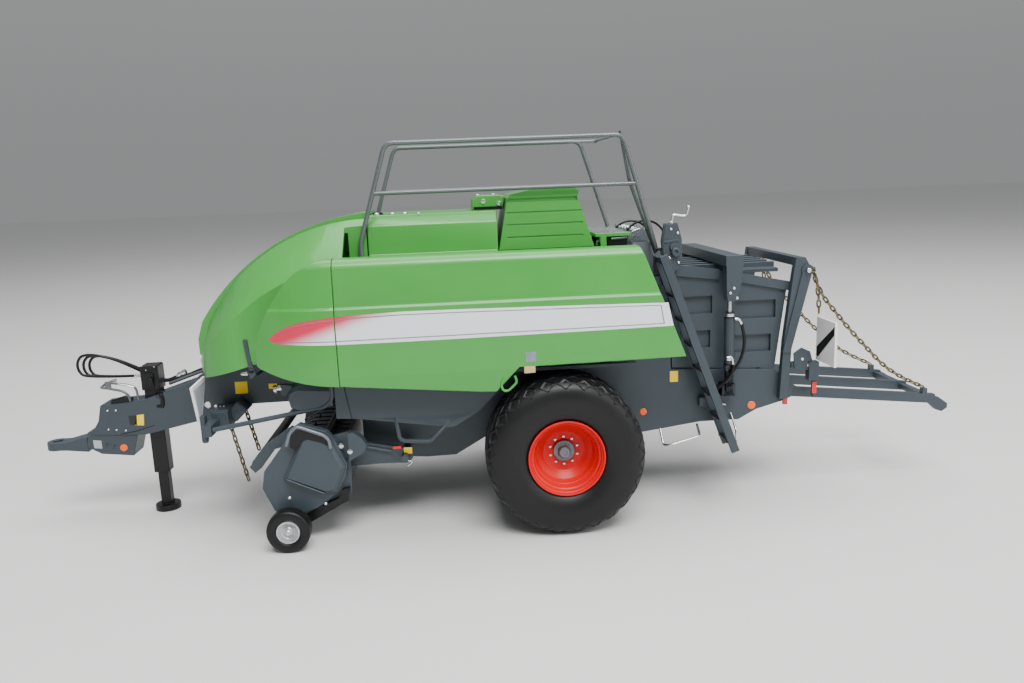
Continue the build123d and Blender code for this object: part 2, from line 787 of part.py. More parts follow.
with BuildPart() as ladder:
    for inner in (ladder_inner, ladder_outer - 1.0):
        slab(ladder_strip(0.0, 1.0, rail_depth / 2), -1, inner, inner + 1.0)
    slab(ladder_strip(0.96, 0.99, 0.9), -1, ladder_inner + 1.0, ladder_outer - 1.0)
    block((52.0, -ladder_inner, 74.0), (55.6, -outer_half, 76.4))
    block((67.0, -ladder_inner, 33.0), (71.4, -plate_inner - plate_wall, 36.0))
keep(ladder.part, "ladder")

with BuildPart() as ladder_steps:
    steps = 7
    for index in range(steps):
        share = 0.05 + 0.125 * index
        x, z = along_ladder(share)
        block((x - 1.7, -ladder_outer + 1.0, z - 0.4), (x + 1.7, -ladder_inner - 1.0, z + 0.4))
keep(ladder_steps.part, "ladder_steps")

# ---- drawbar, hitch and jack --------------------------------------------------------------
drawbar_outline = [
    (-133.3, 39.6), (-120.0, 40.4), (-110.6, 43.3), (frame_front_x, 47.6), (frame_front_x, 33.2),
    (-119.2, 28.6), (-127.0, 28.8), (-137.6, 29.6), (-134.6, 34.0),
]
hitch_plate = [(-138.8, 30.4), (-121.8, 30.4), (-124.4, 21.2), (-135.0, 22.4), (-139.4, 25.0)]
tube_slot = jack_tube / 2 + part_gap
with BuildPart() as drawbar:
    slab(drawbar_outline, 1, -drawbar_half, drawbar_half)
    slab(hitch_plate, 1, -drawbar_half + 0.5, drawbar_half - 0.5)
    block((jack_x - tube_slot, -jack_tube / 2, 15), (jack_x + tube_slot, jack_tube / 2, 60), Mode.SUBTRACT)
keep(drawbar.part, "drawbar")

eye_x = hitch_x + 3.4
with BuildPart() as hitch_tongue:
    tongue_outline = [
        (hitch_x, eye_z - eye_height / 2),
        (hitch_x, eye_z + eye_height / 2),
        (-147.4, eye_z + eye_height / 2),
        (-141.0, 28.2),
        (-139.4, 28.2),
        (-139.4, 23.2),
        (-147.4, eye_z - eye_height / 2),
    ]
    slab(tongue_outline, 1, -4.0, 4.0)
    with BuildSketch(Plane.XY.offset(20)):
        with Locations((eye_x, 0)):
            Circle(3.4)
        Polygon((eye_x, -3.0), (-139.4, -4.0), (-139.4, 4.0), (eye_x, 3.0), align=None)
    extrude(amount=12, mode=Mode.INTERSECT)
    with Locations((eye_x, 0, eye_z)):
        Cylinder(eye_radius, 12, mode=Mode.SUBTRACT)
keep(hitch_tongue.part, "hitch_tongue")

leg_slot = jack_leg / 2 + jack_leg_gap
with BuildPart() as jack_housing:
    half = jack_tube / 2
    width = half - part_gap
    block((jack_x - half, -width, jack_tube_bottom_z), (jack_x + half, width, jack_top_z))
    head = jack_head_half
    block((jack_x - head, -head, jack_head_bottom_z), (jack_x + head, head, jack_top_z))
    slot_foot = (jack_x - leg_slot, -leg_slot, jack_tube_bottom_z - 1)
    block(slot_foot, (jack_x + leg_slot, leg_slot, 44.0), Mode.SUBTRACT)
    boss(jack_x + 0.4, 47.0, 1.1, -head - 1.6, -head)
keep(jack_housing.part, "jack_housing")

with BuildPart() as jack_leg_part:
    half = jack_leg / 2
    block((jack_x - half, -half, jack_foot_thickness), (jack_x + half, half, 30.0))
    upright(jack_x, 0.0, 4.2, 0.0, jack_foot_thickness, 24)
keep(jack_leg_part.part, "jack_leg")

# Bent holder that the hoses lie on, ahead of the jack.
holder_top_z = 47.3
with BuildPart() as hose_holder:
    tube([(-123.8, -4.0, 40.25), (-123.8, -4.0, 43.0), (-131.0, -4.0, 46.0)], 0.6, 1.6)
    tube([(-121.2, -4.0, 40.4), (-121.2, -4.0, 45.2), (-129.6, -4.0, 47.4)], 0.6, 1.6)
    block((-131.4, -4.6, 45.0), (-129.4, 3.2, 47.2))
    block((-130.4, -4.0, 47.2), (-129.6, 3.2, holder_top_z))
keep(hose_holder.part, "hose_holder")

# Three limp hoses run along the drawbar, loop in front of the jack and end on its head.
hose_radius = 0.45
hose_lines = (  # y on the drawbar, y in the loop, front x, top z, bottom z
    ("hose_near", 4.2, -2.5, -139.9, 57.2, 48.8),
    ("hose_middle", 5.4, -0.4, -138.9, 56.4, 48.3),
    ("hose_far", 6.6, 1.7, -137.9, 55.8, 47.9),
)
loop_end_x = jack_x - jack_head_half


def cord(name, points, radius):
    """A hose of straight runs joined by arcs, each as wide as its shorter run allows."""
    radii = []
    for before, here, after in zip(points, points[1:], points[2:]):
        first = Vector(*here) - Vector(*before)
        second = Vector(*after) - Vector(*here)
        half_turn = math.radians(first.get_angle(second)) / 2
        radii.append(0.45 * min(first.length, second.length) / math.tan(half_turn))
    print(name, "bend radii", [round(value, 2) for value in radii])
    with BuildPart() as hose:
        with BuildLine() as path:
            FilletPolyline(*points, radius=radii)
        line = path.wires()[0]
        with BuildSketch(Plane(origin=line @ 0, z_dir=line % 0)):
            RegularPolygon(radius, 8)
        sweep(path=line)
    section = 2 * math.sqrt(2) * radius**2
    print(name, "length", round(line.length, 2), "fill", round(hose.part.volume / (section * line.length), 4))
    keep(hose.part, name)


for name, bar_y, loop_y, reach_x, top_z, low_z in hose_lines:
    cut = 0.293 * (top_z - low_z)  # corner of the eight-sided turn
    cord(
        name,
        [
            (frame_front_x, bar_y, 48.8),
            (frame_front_x - 3.6, bar_y, 48.8),
            (-107.4, bar_y, 46.0),
            (-115.6, bar_y, 44.4),
            (-120.0, bar_y, 47.8),
            (-128.8, loop_y, top_z - 1.6),
            (reach_x + cut, loop_y, top_z),
            (reach_x, loop_y, top_z - cut),
            (reach_x, loop_y, low_z + cut),
            (reach_x + cut, loop_y, low_z),
            (loop_end_x, loop_y, low_z),
        ],
        hose_radius,
    )

# ---- front frame --------------------------------------------------------------------------
frame_outline = [
    (frame_front_x, 33.2), (frame_front_x, 50.0), (-80.0, 54.4), (-62.0, 62.0), (-45.2, 62.0),
    (-45.2, 40.0), (-82.4, 39.6), (-87.0, 33.2),
]
with BuildPart() as front_frame:
    for name, side in SIDES:
        slab(frame_outline, side, frame_half - 1.2, frame_half)
        low, high = sorted((side * frame_half, side * (frame_half + 7.0)))
        with BuildSketch(Plane.XZ.offset(-low)):
            Polygon((-87.4, 38.6), (-83.5, 42.4), (-80.3, 39.4), (-84.1, 35.7), align=None)
        extrude(amount=low - high)
    block((frame_front_x, -frame_half, 33.2), (frame_front_x + 1.6, frame_half, 50.0))
    block((-66.0, -frame_half, 52.0), (-46.4, frame_half, 53.4))
    depth = crossbar_half_depth
    block((crossbar_x - depth, -crossbar_half, 35.0), (crossbar_x + depth, crossbar_half, 38.4))
    for name, side in SIDES:
        low, high = sorted((side * 16.4, side * 25.0))
        block((crossbar_x - depth, low, 35.2), (crossbar_x + 4.2, high, 40.9))
keep(front_frame.part, "front_frame")

marker_front_x = crossbar_x - crossbar_half_depth - 1.8
marker_board = [(19.6, 51.2), (33.4, 50.6), (29.6, 38.6), (27.2, 38.6)]
with BuildPart() as front_markers:
    for name, side in SIDES:
        with BuildSketch(Plane.YZ.offset(marker_front_x - 0.8)):
            Polygon(*[(side * y, z) for y, z in marker_board], align=None)
        extrude(amount=0.8)
        low, high = sorted((side * 27.0, side * 29.8))
        block((marker_front_x, low, 31.6), (marker_front_x + 1.5, high, 40.4))
keep(front_markers.part, "front_markers")

with BuildPart() as guard_tubes:
    start_x = crossbar_x + crossbar_half_depth + 0.3
    for name, side in SIDES:
        y = side * (skirt_y + 0.4)
        tube([(start_x, y, 37.0), (-53.6, y, 42.4), (-51.0, y, 44.6), (-50.9, y, 50.6)], 0.75, 1.6)
keep(guard_tubes.part, "guard_tubes")

# ---- twine boxes behind the side doors ----------------------------------------------------
with BuildPart() as twine_boxes:
    for name, side in SIDES:
        inner = plate_inner + plate_wall
        for z in (50.4, 67.2):
            low, high = sorted((side * inner, side * 33.6))
            block((-40.0, low, z), (44.0, high, z + 1.0))
            for index in range(8):
                x = -34.6 + 10.4 * index
                with BuildSketch(Plane.XY.offset(z + 1.0)):
                    with Locations((x, side * 28.2)):
                        RegularPolygon(4.7, 10)
                extrude(amount=10.0)
        low, high = sorted((side * outer_half, side * inner))
        block((-40.0, low, 60.2), (44.0, high, 61.0))
        block((-40.0, low, 67.2), (44.0, high, 68.2))
        low, high = sorted((side * inner, side * (inner + 0.8)))
        block((-40.0, low, 51.4), (44.0, high, 84.0))
keep(twine_boxes.part, "twine_boxes")

# ---- feeder housing and pickup ------------------------------------------------------------
feeder_outline = [
    (-44.4, 20.6), (-23.6, 19.0), (-14.0, 19.2), (0.8, 27.6), (10.0, chamber_floor_z - chamber_wall),
    (-44.4, chamber_floor_z - chamber_wall),
]
with BuildPart() as feeder_housing:
    slab(feeder_outline, 1, -17.0, 17.0)
    block((-45, -15.8, 22.0), (-34.0, 15.8, 33.4), Mode.SUBTRACT)
    crossways(pivot_x, pivot_z, pivot_radius, -31.0, 31.0)
keep(feeder_housing.part, "feeder_housing")

end_plate = [
    (-71.6, 18.0), (-69.4, 27.0), (-62.0, 33.4), (-52.0, 32.4), (-46.6, 26.0), (-47.0, 14.0),
    (-50.0, 14.0), (-55.0, 11.2), (-66.0, 10.6),
]
arm_outline = [
    (-48.0, 30.0), (-36.0, 27.4), (pivot_x, pivot_z + 2.3), (pivot_x, pivot_z - 2.3), (-38.0, 21.4), (-48.0, 21.0),
]
lift_box_outline = [
    (-51.4, 33.4), (-46.8, 34.4), (-45.2, 34.6), (-42.5, 32.6), (-41.2, 30.3), (-42.0, 28.0), (-46.8, 25.4),
    (-51.8, 24.0),
]
with BuildPart() as pickup_frame:
    for name, side in SIDES:
        slab(end_plate, side, pickup_half, pickup_half + 1.2)
        slab(arm_outline, side, 26.0, 28.4)
        boss(pivot_x, pivot_z, 2.3, side * 26.0, side * 28.4, 20)
        slab(lift_box_outline, side, pickup_half, pickup_half + 1.2)
        slab(lift_box_outline[1:-1], side, pickup_half + 1.2, pickup_half + 3.4)
    block((-49.4, -pickup_half, 15.0), (-48.0, pickup_half, 30.0))
    boss(-55.0, 31.2, 1.2, -pickup_half, pickup_half)
    crossways(pivot_x, pivot_z, pivot_radius + running_gap, -32, 32, mode=Mode.SUBTRACT)
    crossways(reel_x, reel_z, reel_shaft_radius + running_gap, -40, 40, mode=Mode.SUBTRACT)
keep(pickup_frame.part, "pickup_frame")

shield_base = [
    (-73.8, 18.4), (-72.8, 24.0), (-67.6, 30.6), (-64.2, 36.4), (-61.0, 38.4), (-53.0, 35.6),
    (-50.6, 32.6), (-47.4, 24.6), (-48.2, 20.6), (-50.8, 16.0), (-57.0, 11.4), (-61.5, 10.0), (-70.6, 10.8),
]
shield_boss = [
    (-58.6, 35.2), (-52.6, 34.2), (-47.8, 24.4), (-51.2, 16.2), (-54.6, 16.0), (-67.0, 21.4), (-60.4, 34.6),
]
shield_inner = pickup_half + 1.2
with BuildPart() as pickup_shields:
    for name, side in SIDES:
        slab(shield_base, side, shield_inner, shield_inner + 3.0)
        slab(shield_boss, side, shield_inner + 3.0, shield_outer)
    outer_faces = pickup_shields.faces().filter_by(Axis.Y).group_by(Axis.Y)
    chamfer(outer_faces[0].edges() + outer_faces[-1].edges(), 1.1)
    crossways(reel_x, reel_z, reel_shaft_radius + running_gap, -36, 36, mode=Mode.SUBTRACT)
keep(pickup_shields.part, "pickup_shields")

with BuildPart() as reel:
    boss(reel_x, reel_z, reel_core_radius, -pickup_half + 0.6, pickup_half - 0.6, 16)
    crossways(reel_x, reel_z, reel_shaft_radius, -pickup_half - 2.2, pickup_half + 2.2)
    tine = tine_radius - reel_core_radius + 0.4
    for index in range(tine_count):
        y = tine_pitch * (index - (tine_count - 1) / 2)
        for row in range(tine_rows):
            turn = 360 / tine_rows * row + (45 if index % 2 else 0)
            with Locations(Location((reel_x, y, reel_z), (0, turn, 0))):
                with Locations((reel_core_radius - 0.4 + tine / 2, 0, 0)):
                    Box(tine, 0.5, 0.5)
keep(reel.part, "reel")

band_wall = 0.6
band_back_x = -49.4


def band_arc(radius):
    """Side view of one face of a band: back, half round the front of the reel, and back again."""
    turns = [math.radians(80 + 25 * step) for step in range(8)]
    bend = [(reel_x + radius * math.cos(turn), reel_z + radius * math.sin(turn)) for turn in turns]
    rise = radius - band_radius
    return [(band_back_x, bend[0][1] - 0.4), *bend, (band_back_x, 15.6 - rise)]


with BuildPart() as pickup_bands:
    band_width = tine_pitch - 1.8
    for index in range(tine_count + 1):
        y = tine_pitch * (index - tine_count / 2)
        half = band_width / 2
        low, high = max(y - half, -pickup_half), min(y + half, pickup_half)
        with BuildSketch(Plane.XZ.offset(-high)):
            Polygon(*band_arc(band_radius + band_wall), *reversed(band_arc(band_radius)), align=None)
        extrude(amount=high - low)
keep(pickup_bands.part, "pickup_bands")

guard_arm = [
    (-78.4, 24.0), (-76.8, 22.0), (-74.6, 23.6), (-70.0, 29.4), (-62.6, 31.4), (-59.4, 31.2), (-58.8, 33.0),
    (-61.0, 34.4), (-64.4, 36.4), (-73.0, 30.8),
]
guard_gap = 0.7  # keeps the arms inside the guard tubes when the pickup is raised
with BuildPart() as crop_guard:
    stacked([(-pickup_half + 2.4, 1.6), (pickup_half - 2.4, 1.6)], (-76.4, 0.0, 24.4), 1, 16)
    for name, side in SIDES:
        slab(guard_arm, side, pickup_half - 2.4, pickup_half - guard_gap)
        boss(-60.6, 32.6, 0.7, side * (pickup_half - guard_gap), side * pickup_half, 8)
keep(crop_guard.part, "crop_guard")

with BuildPart() as gauge_arms:
    for name, side in SIDES:
        arm = [
            (-67.4, 5.4), (-66.4, 8.2), (-61.0, 9.2), (-51.0, 13.4), (-49.6, 16.2), (-47.4, 16.6),
            (-48.2, 12.4), (-60.0, 6.2), (-65.0, 4.8),
        ]
        inner = shield_inner
        slab(arm, side, inner, inner + 1.6)
        crossways(gauge_x, gauge_radius, gauge_axle_radius, side * inner, side * (gauge_track_half + 1.0))
keep(gauge_arms.part, "gauge_arms")

gauge_bore = gauge_axle_radius + running_gap
gauge_facets = 20
gauge_seat = 3.6
gauge_dish = [(0.6, 2.5), (1.7, 3.1), (2.3, 3.3)]
gauge_back = [(-2.3, 3.2), (-0.4, 2.7)]
for name, side in SIDES:
    centre = (gauge_x, side * gauge_track_half, gauge_radius)
    seat = [(-gauge_half_width, gauge_seat), (gauge_half_width, gauge_seat)]
    section = tyre_stations(gauge_radius, gauge_half_width, gauge_seat)
    with BuildPart() as gauge_tyre:
        stacked(section, centre, side, gauge_facets)
        stacked(seat, centre, side, gauge_facets, Mode.SUBTRACT)
    keep(gauge_tyre.part, f"gauge_tyre_{name}")
    with BuildPart() as gauge_rim:
        stacked([(-2.0, gauge_seat), (2.0, gauge_seat)], centre, side, gauge_facets)
        stacked(gauge_dish, centre, side, gauge_facets, Mode.SUBTRACT)
        stacked(gauge_back, centre, side, gauge_facets, Mode.SUBTRACT)
        stacked([(0.0, 1.3), (1.9, 1.1)], centre, side, gauge_facets // 2)
        low, high = sorted((centre[1] - side * 1.0, centre[1] + side * 1.4))
        crossways(gauge_x, gauge_radius, gauge_bore, low, high, Mode.SUBTRACT)
    keep(gauge_rim.part, f"gauge_rim_{name}")

# ---- chute --------------------------------------------------------------------------------
chute_slope = chute_drop / (chute_end_x - chute_x)


def chute_strip(start, end, height):
    """Side view of a chute member that follows the chute's slope."""
    def line(x):
        return chute_z - chute_slope * (x - chute_x)

    half = height / 2
    lower = [(start, line(start) - half), (end, line(end) - half)]
    return lower + [(end, line(end) + half), (start, line(start) + half)]


with BuildPart() as chute:
    half = chute_beam_width / 2
    for y in (-chute_beam_y, 0.0, chute_beam_y):
        slab(chute_strip(chute_x, chute_end_x, chute_beam_height), 1, y - half, y + half)
    edge = chute_beam_y + half
    slab(chute_strip(101.0, 103.4, 1.8), 1, -edge, edge)
    slab(chute_strip(chute_end_x - 3.0, chute_end_x, 1.8), 1, -edge, edge)
    for name, side in SIDES:
        boss(chute_x, chute_z, 1.7, side * (edge - chute_beam_width), side * edge, 16)
        crossways(chute_x, chute_z, chute_pin_radius, side * edge, side * (plate_inner + plate_wall))
        tip = [
            (148.4, 31.2), (151.2, 30.6), (154.5, 28.2), (154.5, 26.6), (152.6, 25.4), (150.4, 26.2), (148.0, 28.6),
        ]
        slab(tip, side, chute_beam_y - half, chute_beam_y + half)
        low, high = sorted((side * (chute_beam_y - half), side * (chute_beam_y + half)))
        block((145.6, low, 30.8), (147.2, high, 33.8))
keep(chute.part, "chute")

# ---- chains -------------------------------------------------------------------------------
link_wire = 0.42
chain_pitch = 3.0


def chain(points, pitch):
    """Links along a line of points, each one turned square to the last."""
    runs = list(zip(points, points[1:]))
    total = sum(math.dist(a, b) for a, b in runs)
    count = round(total / pitch)
    for index in range(count):
        travel = total * (index + 0.5) / count
        for a, b in runs:
            length = math.dist(a, b)
            if travel <= length:
                break
            travel -= length
        along = Vector(*b) - Vector(*a)
        centre = Vector(*a) + along * (travel / length)
        across_link = Vector(0, 1, 0) if index % 2 else along.cross(Vector(0, 1, 0)).normalized()
        half_long = pitch / 2 + link_wire * 0.95
        half_wide = 0.78
        with BuildSketch(Plane(origin=centre, x_dir=along, z_dir=across_link)) as link:
            for grow, mode in ((0.0, Mode.ADD), (-link_wire, Mode.SUBTRACT)):
                long, wide = half_long + grow, half_wide + grow
                bend = long - 0.6 * wide
                Polygon(
                    (long, 0), (bend, wide), (-bend, wide), (-long, 0), (-bend, -wide), (bend, -wide),
                    align=None,
                    mode=mode,
                )
        extrude(link.sketch, amount=link_wire / 2, both=True)


with BuildPart() as chute_chains:
    for name, side in SIDES:
        y = side * (post_inner + 1.0)
        chain(
            [
                (104.4, y, 76.2),
                (107.4, y, 68.6),
                (117.2, y * 0.97, 56.8),
                (130.9, y * 0.91, 41.9),
                (146.4, side * chute_beam_y, 34.5),
            ],
            chain_pitch,
        )
keep(chute_chains.part, "chute_chains")

with BuildPart() as lift_chains:
    for y, top, bottom in ((-20.0, (-86.4, 34.7), (-82.4, 15.4)), (-11.0, (-84.0, 39.2), (-80.4, 23.0))):
        chain([(top[0], y, top[1]), (bottom[0], y, bottom[1])], chain_pitch)
keep(lift_chains.part, "lift_chains")
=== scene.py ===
"""Looks of the large square baler model: camera, light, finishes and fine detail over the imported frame."""

import json
from math import cos, pi, radians, sin, sqrt

import bmesh
import bpy
from mathutils import Matrix, Vector


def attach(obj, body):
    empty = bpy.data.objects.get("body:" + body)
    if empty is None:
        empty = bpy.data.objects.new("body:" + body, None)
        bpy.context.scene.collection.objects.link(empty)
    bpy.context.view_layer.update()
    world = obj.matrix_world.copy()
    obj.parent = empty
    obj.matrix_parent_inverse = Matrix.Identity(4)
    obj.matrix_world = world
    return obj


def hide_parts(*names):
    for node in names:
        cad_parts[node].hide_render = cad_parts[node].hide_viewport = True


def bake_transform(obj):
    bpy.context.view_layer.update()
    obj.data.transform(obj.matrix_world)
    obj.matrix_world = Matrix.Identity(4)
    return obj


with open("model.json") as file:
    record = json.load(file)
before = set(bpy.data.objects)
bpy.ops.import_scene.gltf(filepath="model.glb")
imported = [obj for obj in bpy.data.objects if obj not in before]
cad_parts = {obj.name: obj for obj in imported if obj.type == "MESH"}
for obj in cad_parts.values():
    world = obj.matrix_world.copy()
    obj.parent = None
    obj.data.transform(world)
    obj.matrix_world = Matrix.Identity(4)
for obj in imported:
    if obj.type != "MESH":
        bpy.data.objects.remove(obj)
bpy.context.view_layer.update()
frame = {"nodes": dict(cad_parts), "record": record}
mm = 0.001
SIDES = (("left", -1), ("right", 1))
UP, ACROSS, OUT_LEFT = (0, 0, 1), (0, 1, 0), (0, -1, 0)

# ---- camera and light ----
CAMERA_PLACE = (-9.155 * mm, -283.319 * mm, 108.503 * mm)
CAMERA_YAW = -0.057443
CAMERA_PITCH = 0.191296
CAMERA_ROLL = -0.0394717
CAMERA_LENS = 29.04
SKY_LOW = 0.33  # brightness of the backdrop at the horizon
SKY_HIGH = 0.47
SKY_TINT = (0.82, 0.83, 0.84, 1)
LAMPS = (  # name, place, point that it faces, width and depth, all in metres, and watts
    ("key", (0.1, -0.52, 0.8), (0, 0, 0.05), (0.6, 0.4), 12),
    ("top", (0.05, 0.1, 0.9), (0, 0, 0.05), (0.9, 0.6), 8),
    ("fill", (0.65, -0.45, 0.35), (0.05, 0, 0.05), (0.5, 0.5), 2.5),
)


def add(name, data):
    """A new object in the scene."""
    thing = bpy.data.objects.new(name, data)
    bpy.context.scene.collection.objects.link(thing)
    return thing


def aim_camera():
    """Stands the camera where the model was seen from: low, from the left and a little ahead."""
    data = bpy.data.cameras.new("camera")
    data.sensor_width = 36.0
    data.lens = CAMERA_LENS
    data.clip_start = 0.005
    camera = add("camera", data)
    flat = cos(CAMERA_PITCH)
    forward = Vector((-sin(CAMERA_YAW) * flat, cos(CAMERA_YAW) * flat, -sin(CAMERA_PITCH)))
    level = forward.cross(Vector(UP)).normalized()
    above = level.cross(forward)
    right = level * cos(CAMERA_ROLL) + above * sin(CAMERA_ROLL)
    up = above * cos(CAMERA_ROLL) - level * sin(CAMERA_ROLL)
    turn = Matrix((right, up, -forward)).transposed()
    camera.matrix_world = Matrix.Translation(CAMERA_PLACE) @ turn.to_4x4()
    bpy.context.scene.camera = camera


def soft_light(name, place, target, size, power):
    """A broad area lamp that faces a point."""
    data = bpy.data.lights.new(name, "AREA")
    data.shape = "RECTANGLE"
    data.size, data.size_y = size
    data.energy = power
    lamp = add(name, data)
    lamp.location = place
    lamp.rotation_euler = (Vector(target) - Vector(place)).to_track_quat("-Z", "Y").to_euler()


def wire(tree, node, sockets):
    """Gives each open socket its value, or links it to the output of another node."""
    for socket, value in sockets.items():
        if isinstance(value, bpy.types.NodeSocket):
            tree.links.new(value, node.inputs[socket])
        else:
            node.inputs[socket].default_value = value
    return node


def new_node(tree, kind, sockets, **settings):
    """A shader node with its settings and what its open sockets get."""
    node = tree.nodes.new(f"ShaderNode{kind}")
    for key, value in settings.items():
        setattr(node, key, value)
    return wire(tree, node, sockets)


def light_studio():
    """A pale backdrop that grows lighter upwards, and the lamps."""
    world = bpy.data.worlds.new("studio")
    world.use_nodes = True
    tree = world.node_tree
    split = new_node(tree, "SeparateXYZ", {"Vector": new_node(tree, "TexCoord", {}).outputs["Generated"]})
    ends = {"Value": split.outputs["Z"], "From Max": 0.5, "To Min": SKY_LOW, "To Max": SKY_HIGH}
    rise = new_node(tree, "MapRange", ends, interpolation_type="SMOOTHSTEP")
    wire(tree, tree.nodes["Background"], {"Color": SKY_TINT, "Strength": rise.outputs["Result"]})
    bpy.context.scene.world = world
    for lamp in LAMPS:
        soft_light(*lamp)


aim_camera()
light_studio()


# ---- finishes ----
def shaded(name, sockets):
    """A new material with its node tree, its shader and the object's own coordinates."""
    material = bpy.data.materials.new(name)
    material.use_nodes = True
    tree = material.node_tree
    shader = wire(tree, tree.nodes["Principled BSDF"], sockets)
    return material, tree, shader, new_node(tree, "TexCoord", {}).outputs["Object"]


def noise(tree, place, **sockets):
    return new_node(tree, "TexNoise", {"Vector": place, **sockets}).outputs["Fac"]


def tint(tree, share, near, far):
    """A colour that runs from one shade to another."""
    ends = {"Factor": share, "A": (*near, 1), "B": (*far, 1)}
    return new_node(tree, "Mix", ends, data_type="RGBA").outputs["Result"]


def wander(tree, share, low, high):
    """A value that wanders between two ends."""
    return new_node(tree, "MapRange", {"Value": share, "To Min": low, "To Max": high}).outputs["Result"]


def finish(name, shade, accent, rough, metal=0, coat=0, grain=900, bump=0.03, cloud=60, shine=0.4):
    """Paint or moulded plastic: two near shades in soft clouds, uneven gloss and a fine orange peel."""
    sockets = {"Metallic": metal, "Specular IOR Level": shine, "Coat Weight": coat, "Coat Roughness": 0.15}
    material, tree, shader, place = shaded(name, sockets)
    clouds = noise(tree, place, Scale=cloud, Detail=4, Roughness=0.6)
    peel = {"Height": noise(tree, place, Scale=grain, Detail=2), "Strength": bump, "Distance": 0.0002}
    look = {
        "Base Color": tint(tree, clouds, shade, accent),
        "Roughness": wander(tree, clouds, rough * 0.82, min(rough * 1.2, 1)),
        "Normal": new_node(tree, "Bump", peel).outputs["Normal"],
    }
    wire(tree, shader, look)
    return material


FINISH = {
    "cover_green": finish("cover_green", (0.042, 0.275, 0.038), (0.056, 0.31, 0.05), 0.34, coat=0.25),
    "frame_grey": finish("frame_grey", (0.03, 0.043, 0.053), (0.044, 0.058, 0.07), 0.4, bump=0.06),
    "rail_grey": finish("rail_grey", (0.095, 0.105, 0.115), (0.15, 0.16, 0.17), 0.3, metal=0.4),
    "tyre": finish("tyre", (0.004, 0.004, 0.0045), (0.008, 0.008, 0.009), 0.42, bump=0.1, shine=0.3),
    "rim_red": finish("rim_red", (0.56, 0.0005, 0.002), (0.64, 0.001, 0.004), 0.36, shine=0.25),
    "bright_metal": finish("bright_metal", (0.62, 0.62, 0.63), (0.74, 0.74, 0.75), 0.26, metal=1),
    "hub_grey": finish("hub_grey", (0.12, 0.14, 0.16), (0.17, 0.19, 0.21), 0.36, metal=0.4),
    "trim_black": finish("trim_black", (0.004, 0.004, 0.005), (0.008, 0.008, 0.009), 0.34, shine=0.3),
    "marker_white": finish("marker_white", (0.8, 0.8, 0.79), (0.86, 0.86, 0.85), 0.35),
}
FINISH["hose_black"] = finish(
    "hose_black", (0.005, 0.005, 0.006), (0.009, 0.009, 0.01), 0.34, bump=0.05, shine=0.3
)
LENS = {"grain": 2600, "bump": 0.2}
ORANGE = finish("reflector_orange", (0.85, 0.1, 0.008), (0.95, 0.15, 0.012), 0.25, coat=0.3, **LENS)
LAMP_RED = finish("lamp_red", (0.6, 0.004, 0.004), (0.72, 0.01, 0.008), 0.2, coat=0.4, **LENS)
YELLOW = finish("label_yellow", (0.96, 0.64, 0.01), (1, 0.7, 0.015), 0.4, shine=0.3)
RIM_METAL = finish("rim_metal", (0.52, 0.53, 0.54), (0.6, 0.61, 0.62), 0.36, metal=0.85)
CHAIN_STEEL = finish("chain_metal", (0.035, 0.03, 0.022), (0.3, 0.24, 0.13), 0.3, metal=0.85, cloud=900)
GOLD = finish("gold_metal", (0.62, 0.47, 0.2), (0.72, 0.56, 0.26), 0.3, metal=0.9)
LABEL_GREY = finish("label_grey", (0.34, 0.38, 0.42), (0.42, 0.45, 0.48), 0.4)
LABEL_BLUE = finish("label_blue", (0.1, 0.13, 0.17), (0.3, 0.33, 0.37), 0.4, cloud=500)
LABEL_DARK = finish("label_dark", (0.012, 0.013, 0.016), (0.02, 0.021, 0.024), 0.4)

NODE_SLOT = {entry["node"]: entry["material_slot"] for entry in frame["record"]["subparts"]}
BODY_OF = {name: body for body, names in frame["record"]["behaviour"]["bodies"].items() for name in names}
for node_name, node in frame["nodes"].items():
    node.data.materials.clear()
    node.data.materials.append(FINISH[NODE_SLOT[node_name]])


# ---- shapes ----
BEND_STEPS = 6
EDGE_ANGLE = radians(30)  # edges sharper than this are rounded


def span(side, near, far):
    """The low and high y of a layer on one side, from two distances to the middle plane."""
    return sorted((side * near, side * far))


def eased(points, bend):
    """Points of a line whose corners are eased into curves."""
    line = [Vector(p) for p in points]
    if not bend or len(line) < 3:
        return line
    out = [line[0]]
    for before, here, after in zip(line, line[1:], line[2:]):
        back, ahead = before - here, after - here
        reach = min(bend, 0.48 * back.length, 0.48 * ahead.length)
        start, end = here + back.normalized() * reach, here + ahead.normalized() * reach
        for step in range(BEND_STEPS + 1):
            t = step / BEND_STEPS
            out.append(start * (1 - t) ** 2 + here * 2 * t * (1 - t) + end * t * t)
    out.append(line[-1])
    return out


def ring(middle, side, other, radius, count):
    """Points of a circle whose plane two square directions span."""
    turns = [2 * pi * k / count for k in range(count)]
    return [middle + (side * cos(turn) + other * sin(turn)) * radius for turn in turns]


def bolt(foot, edge, top, radius, crown):
    """Profile of a head with a chamfer: how far out its foot, edge and top lie, and its two radii."""
    return [(foot, radius), (edge, radius), (top, crown), (top, 0)]


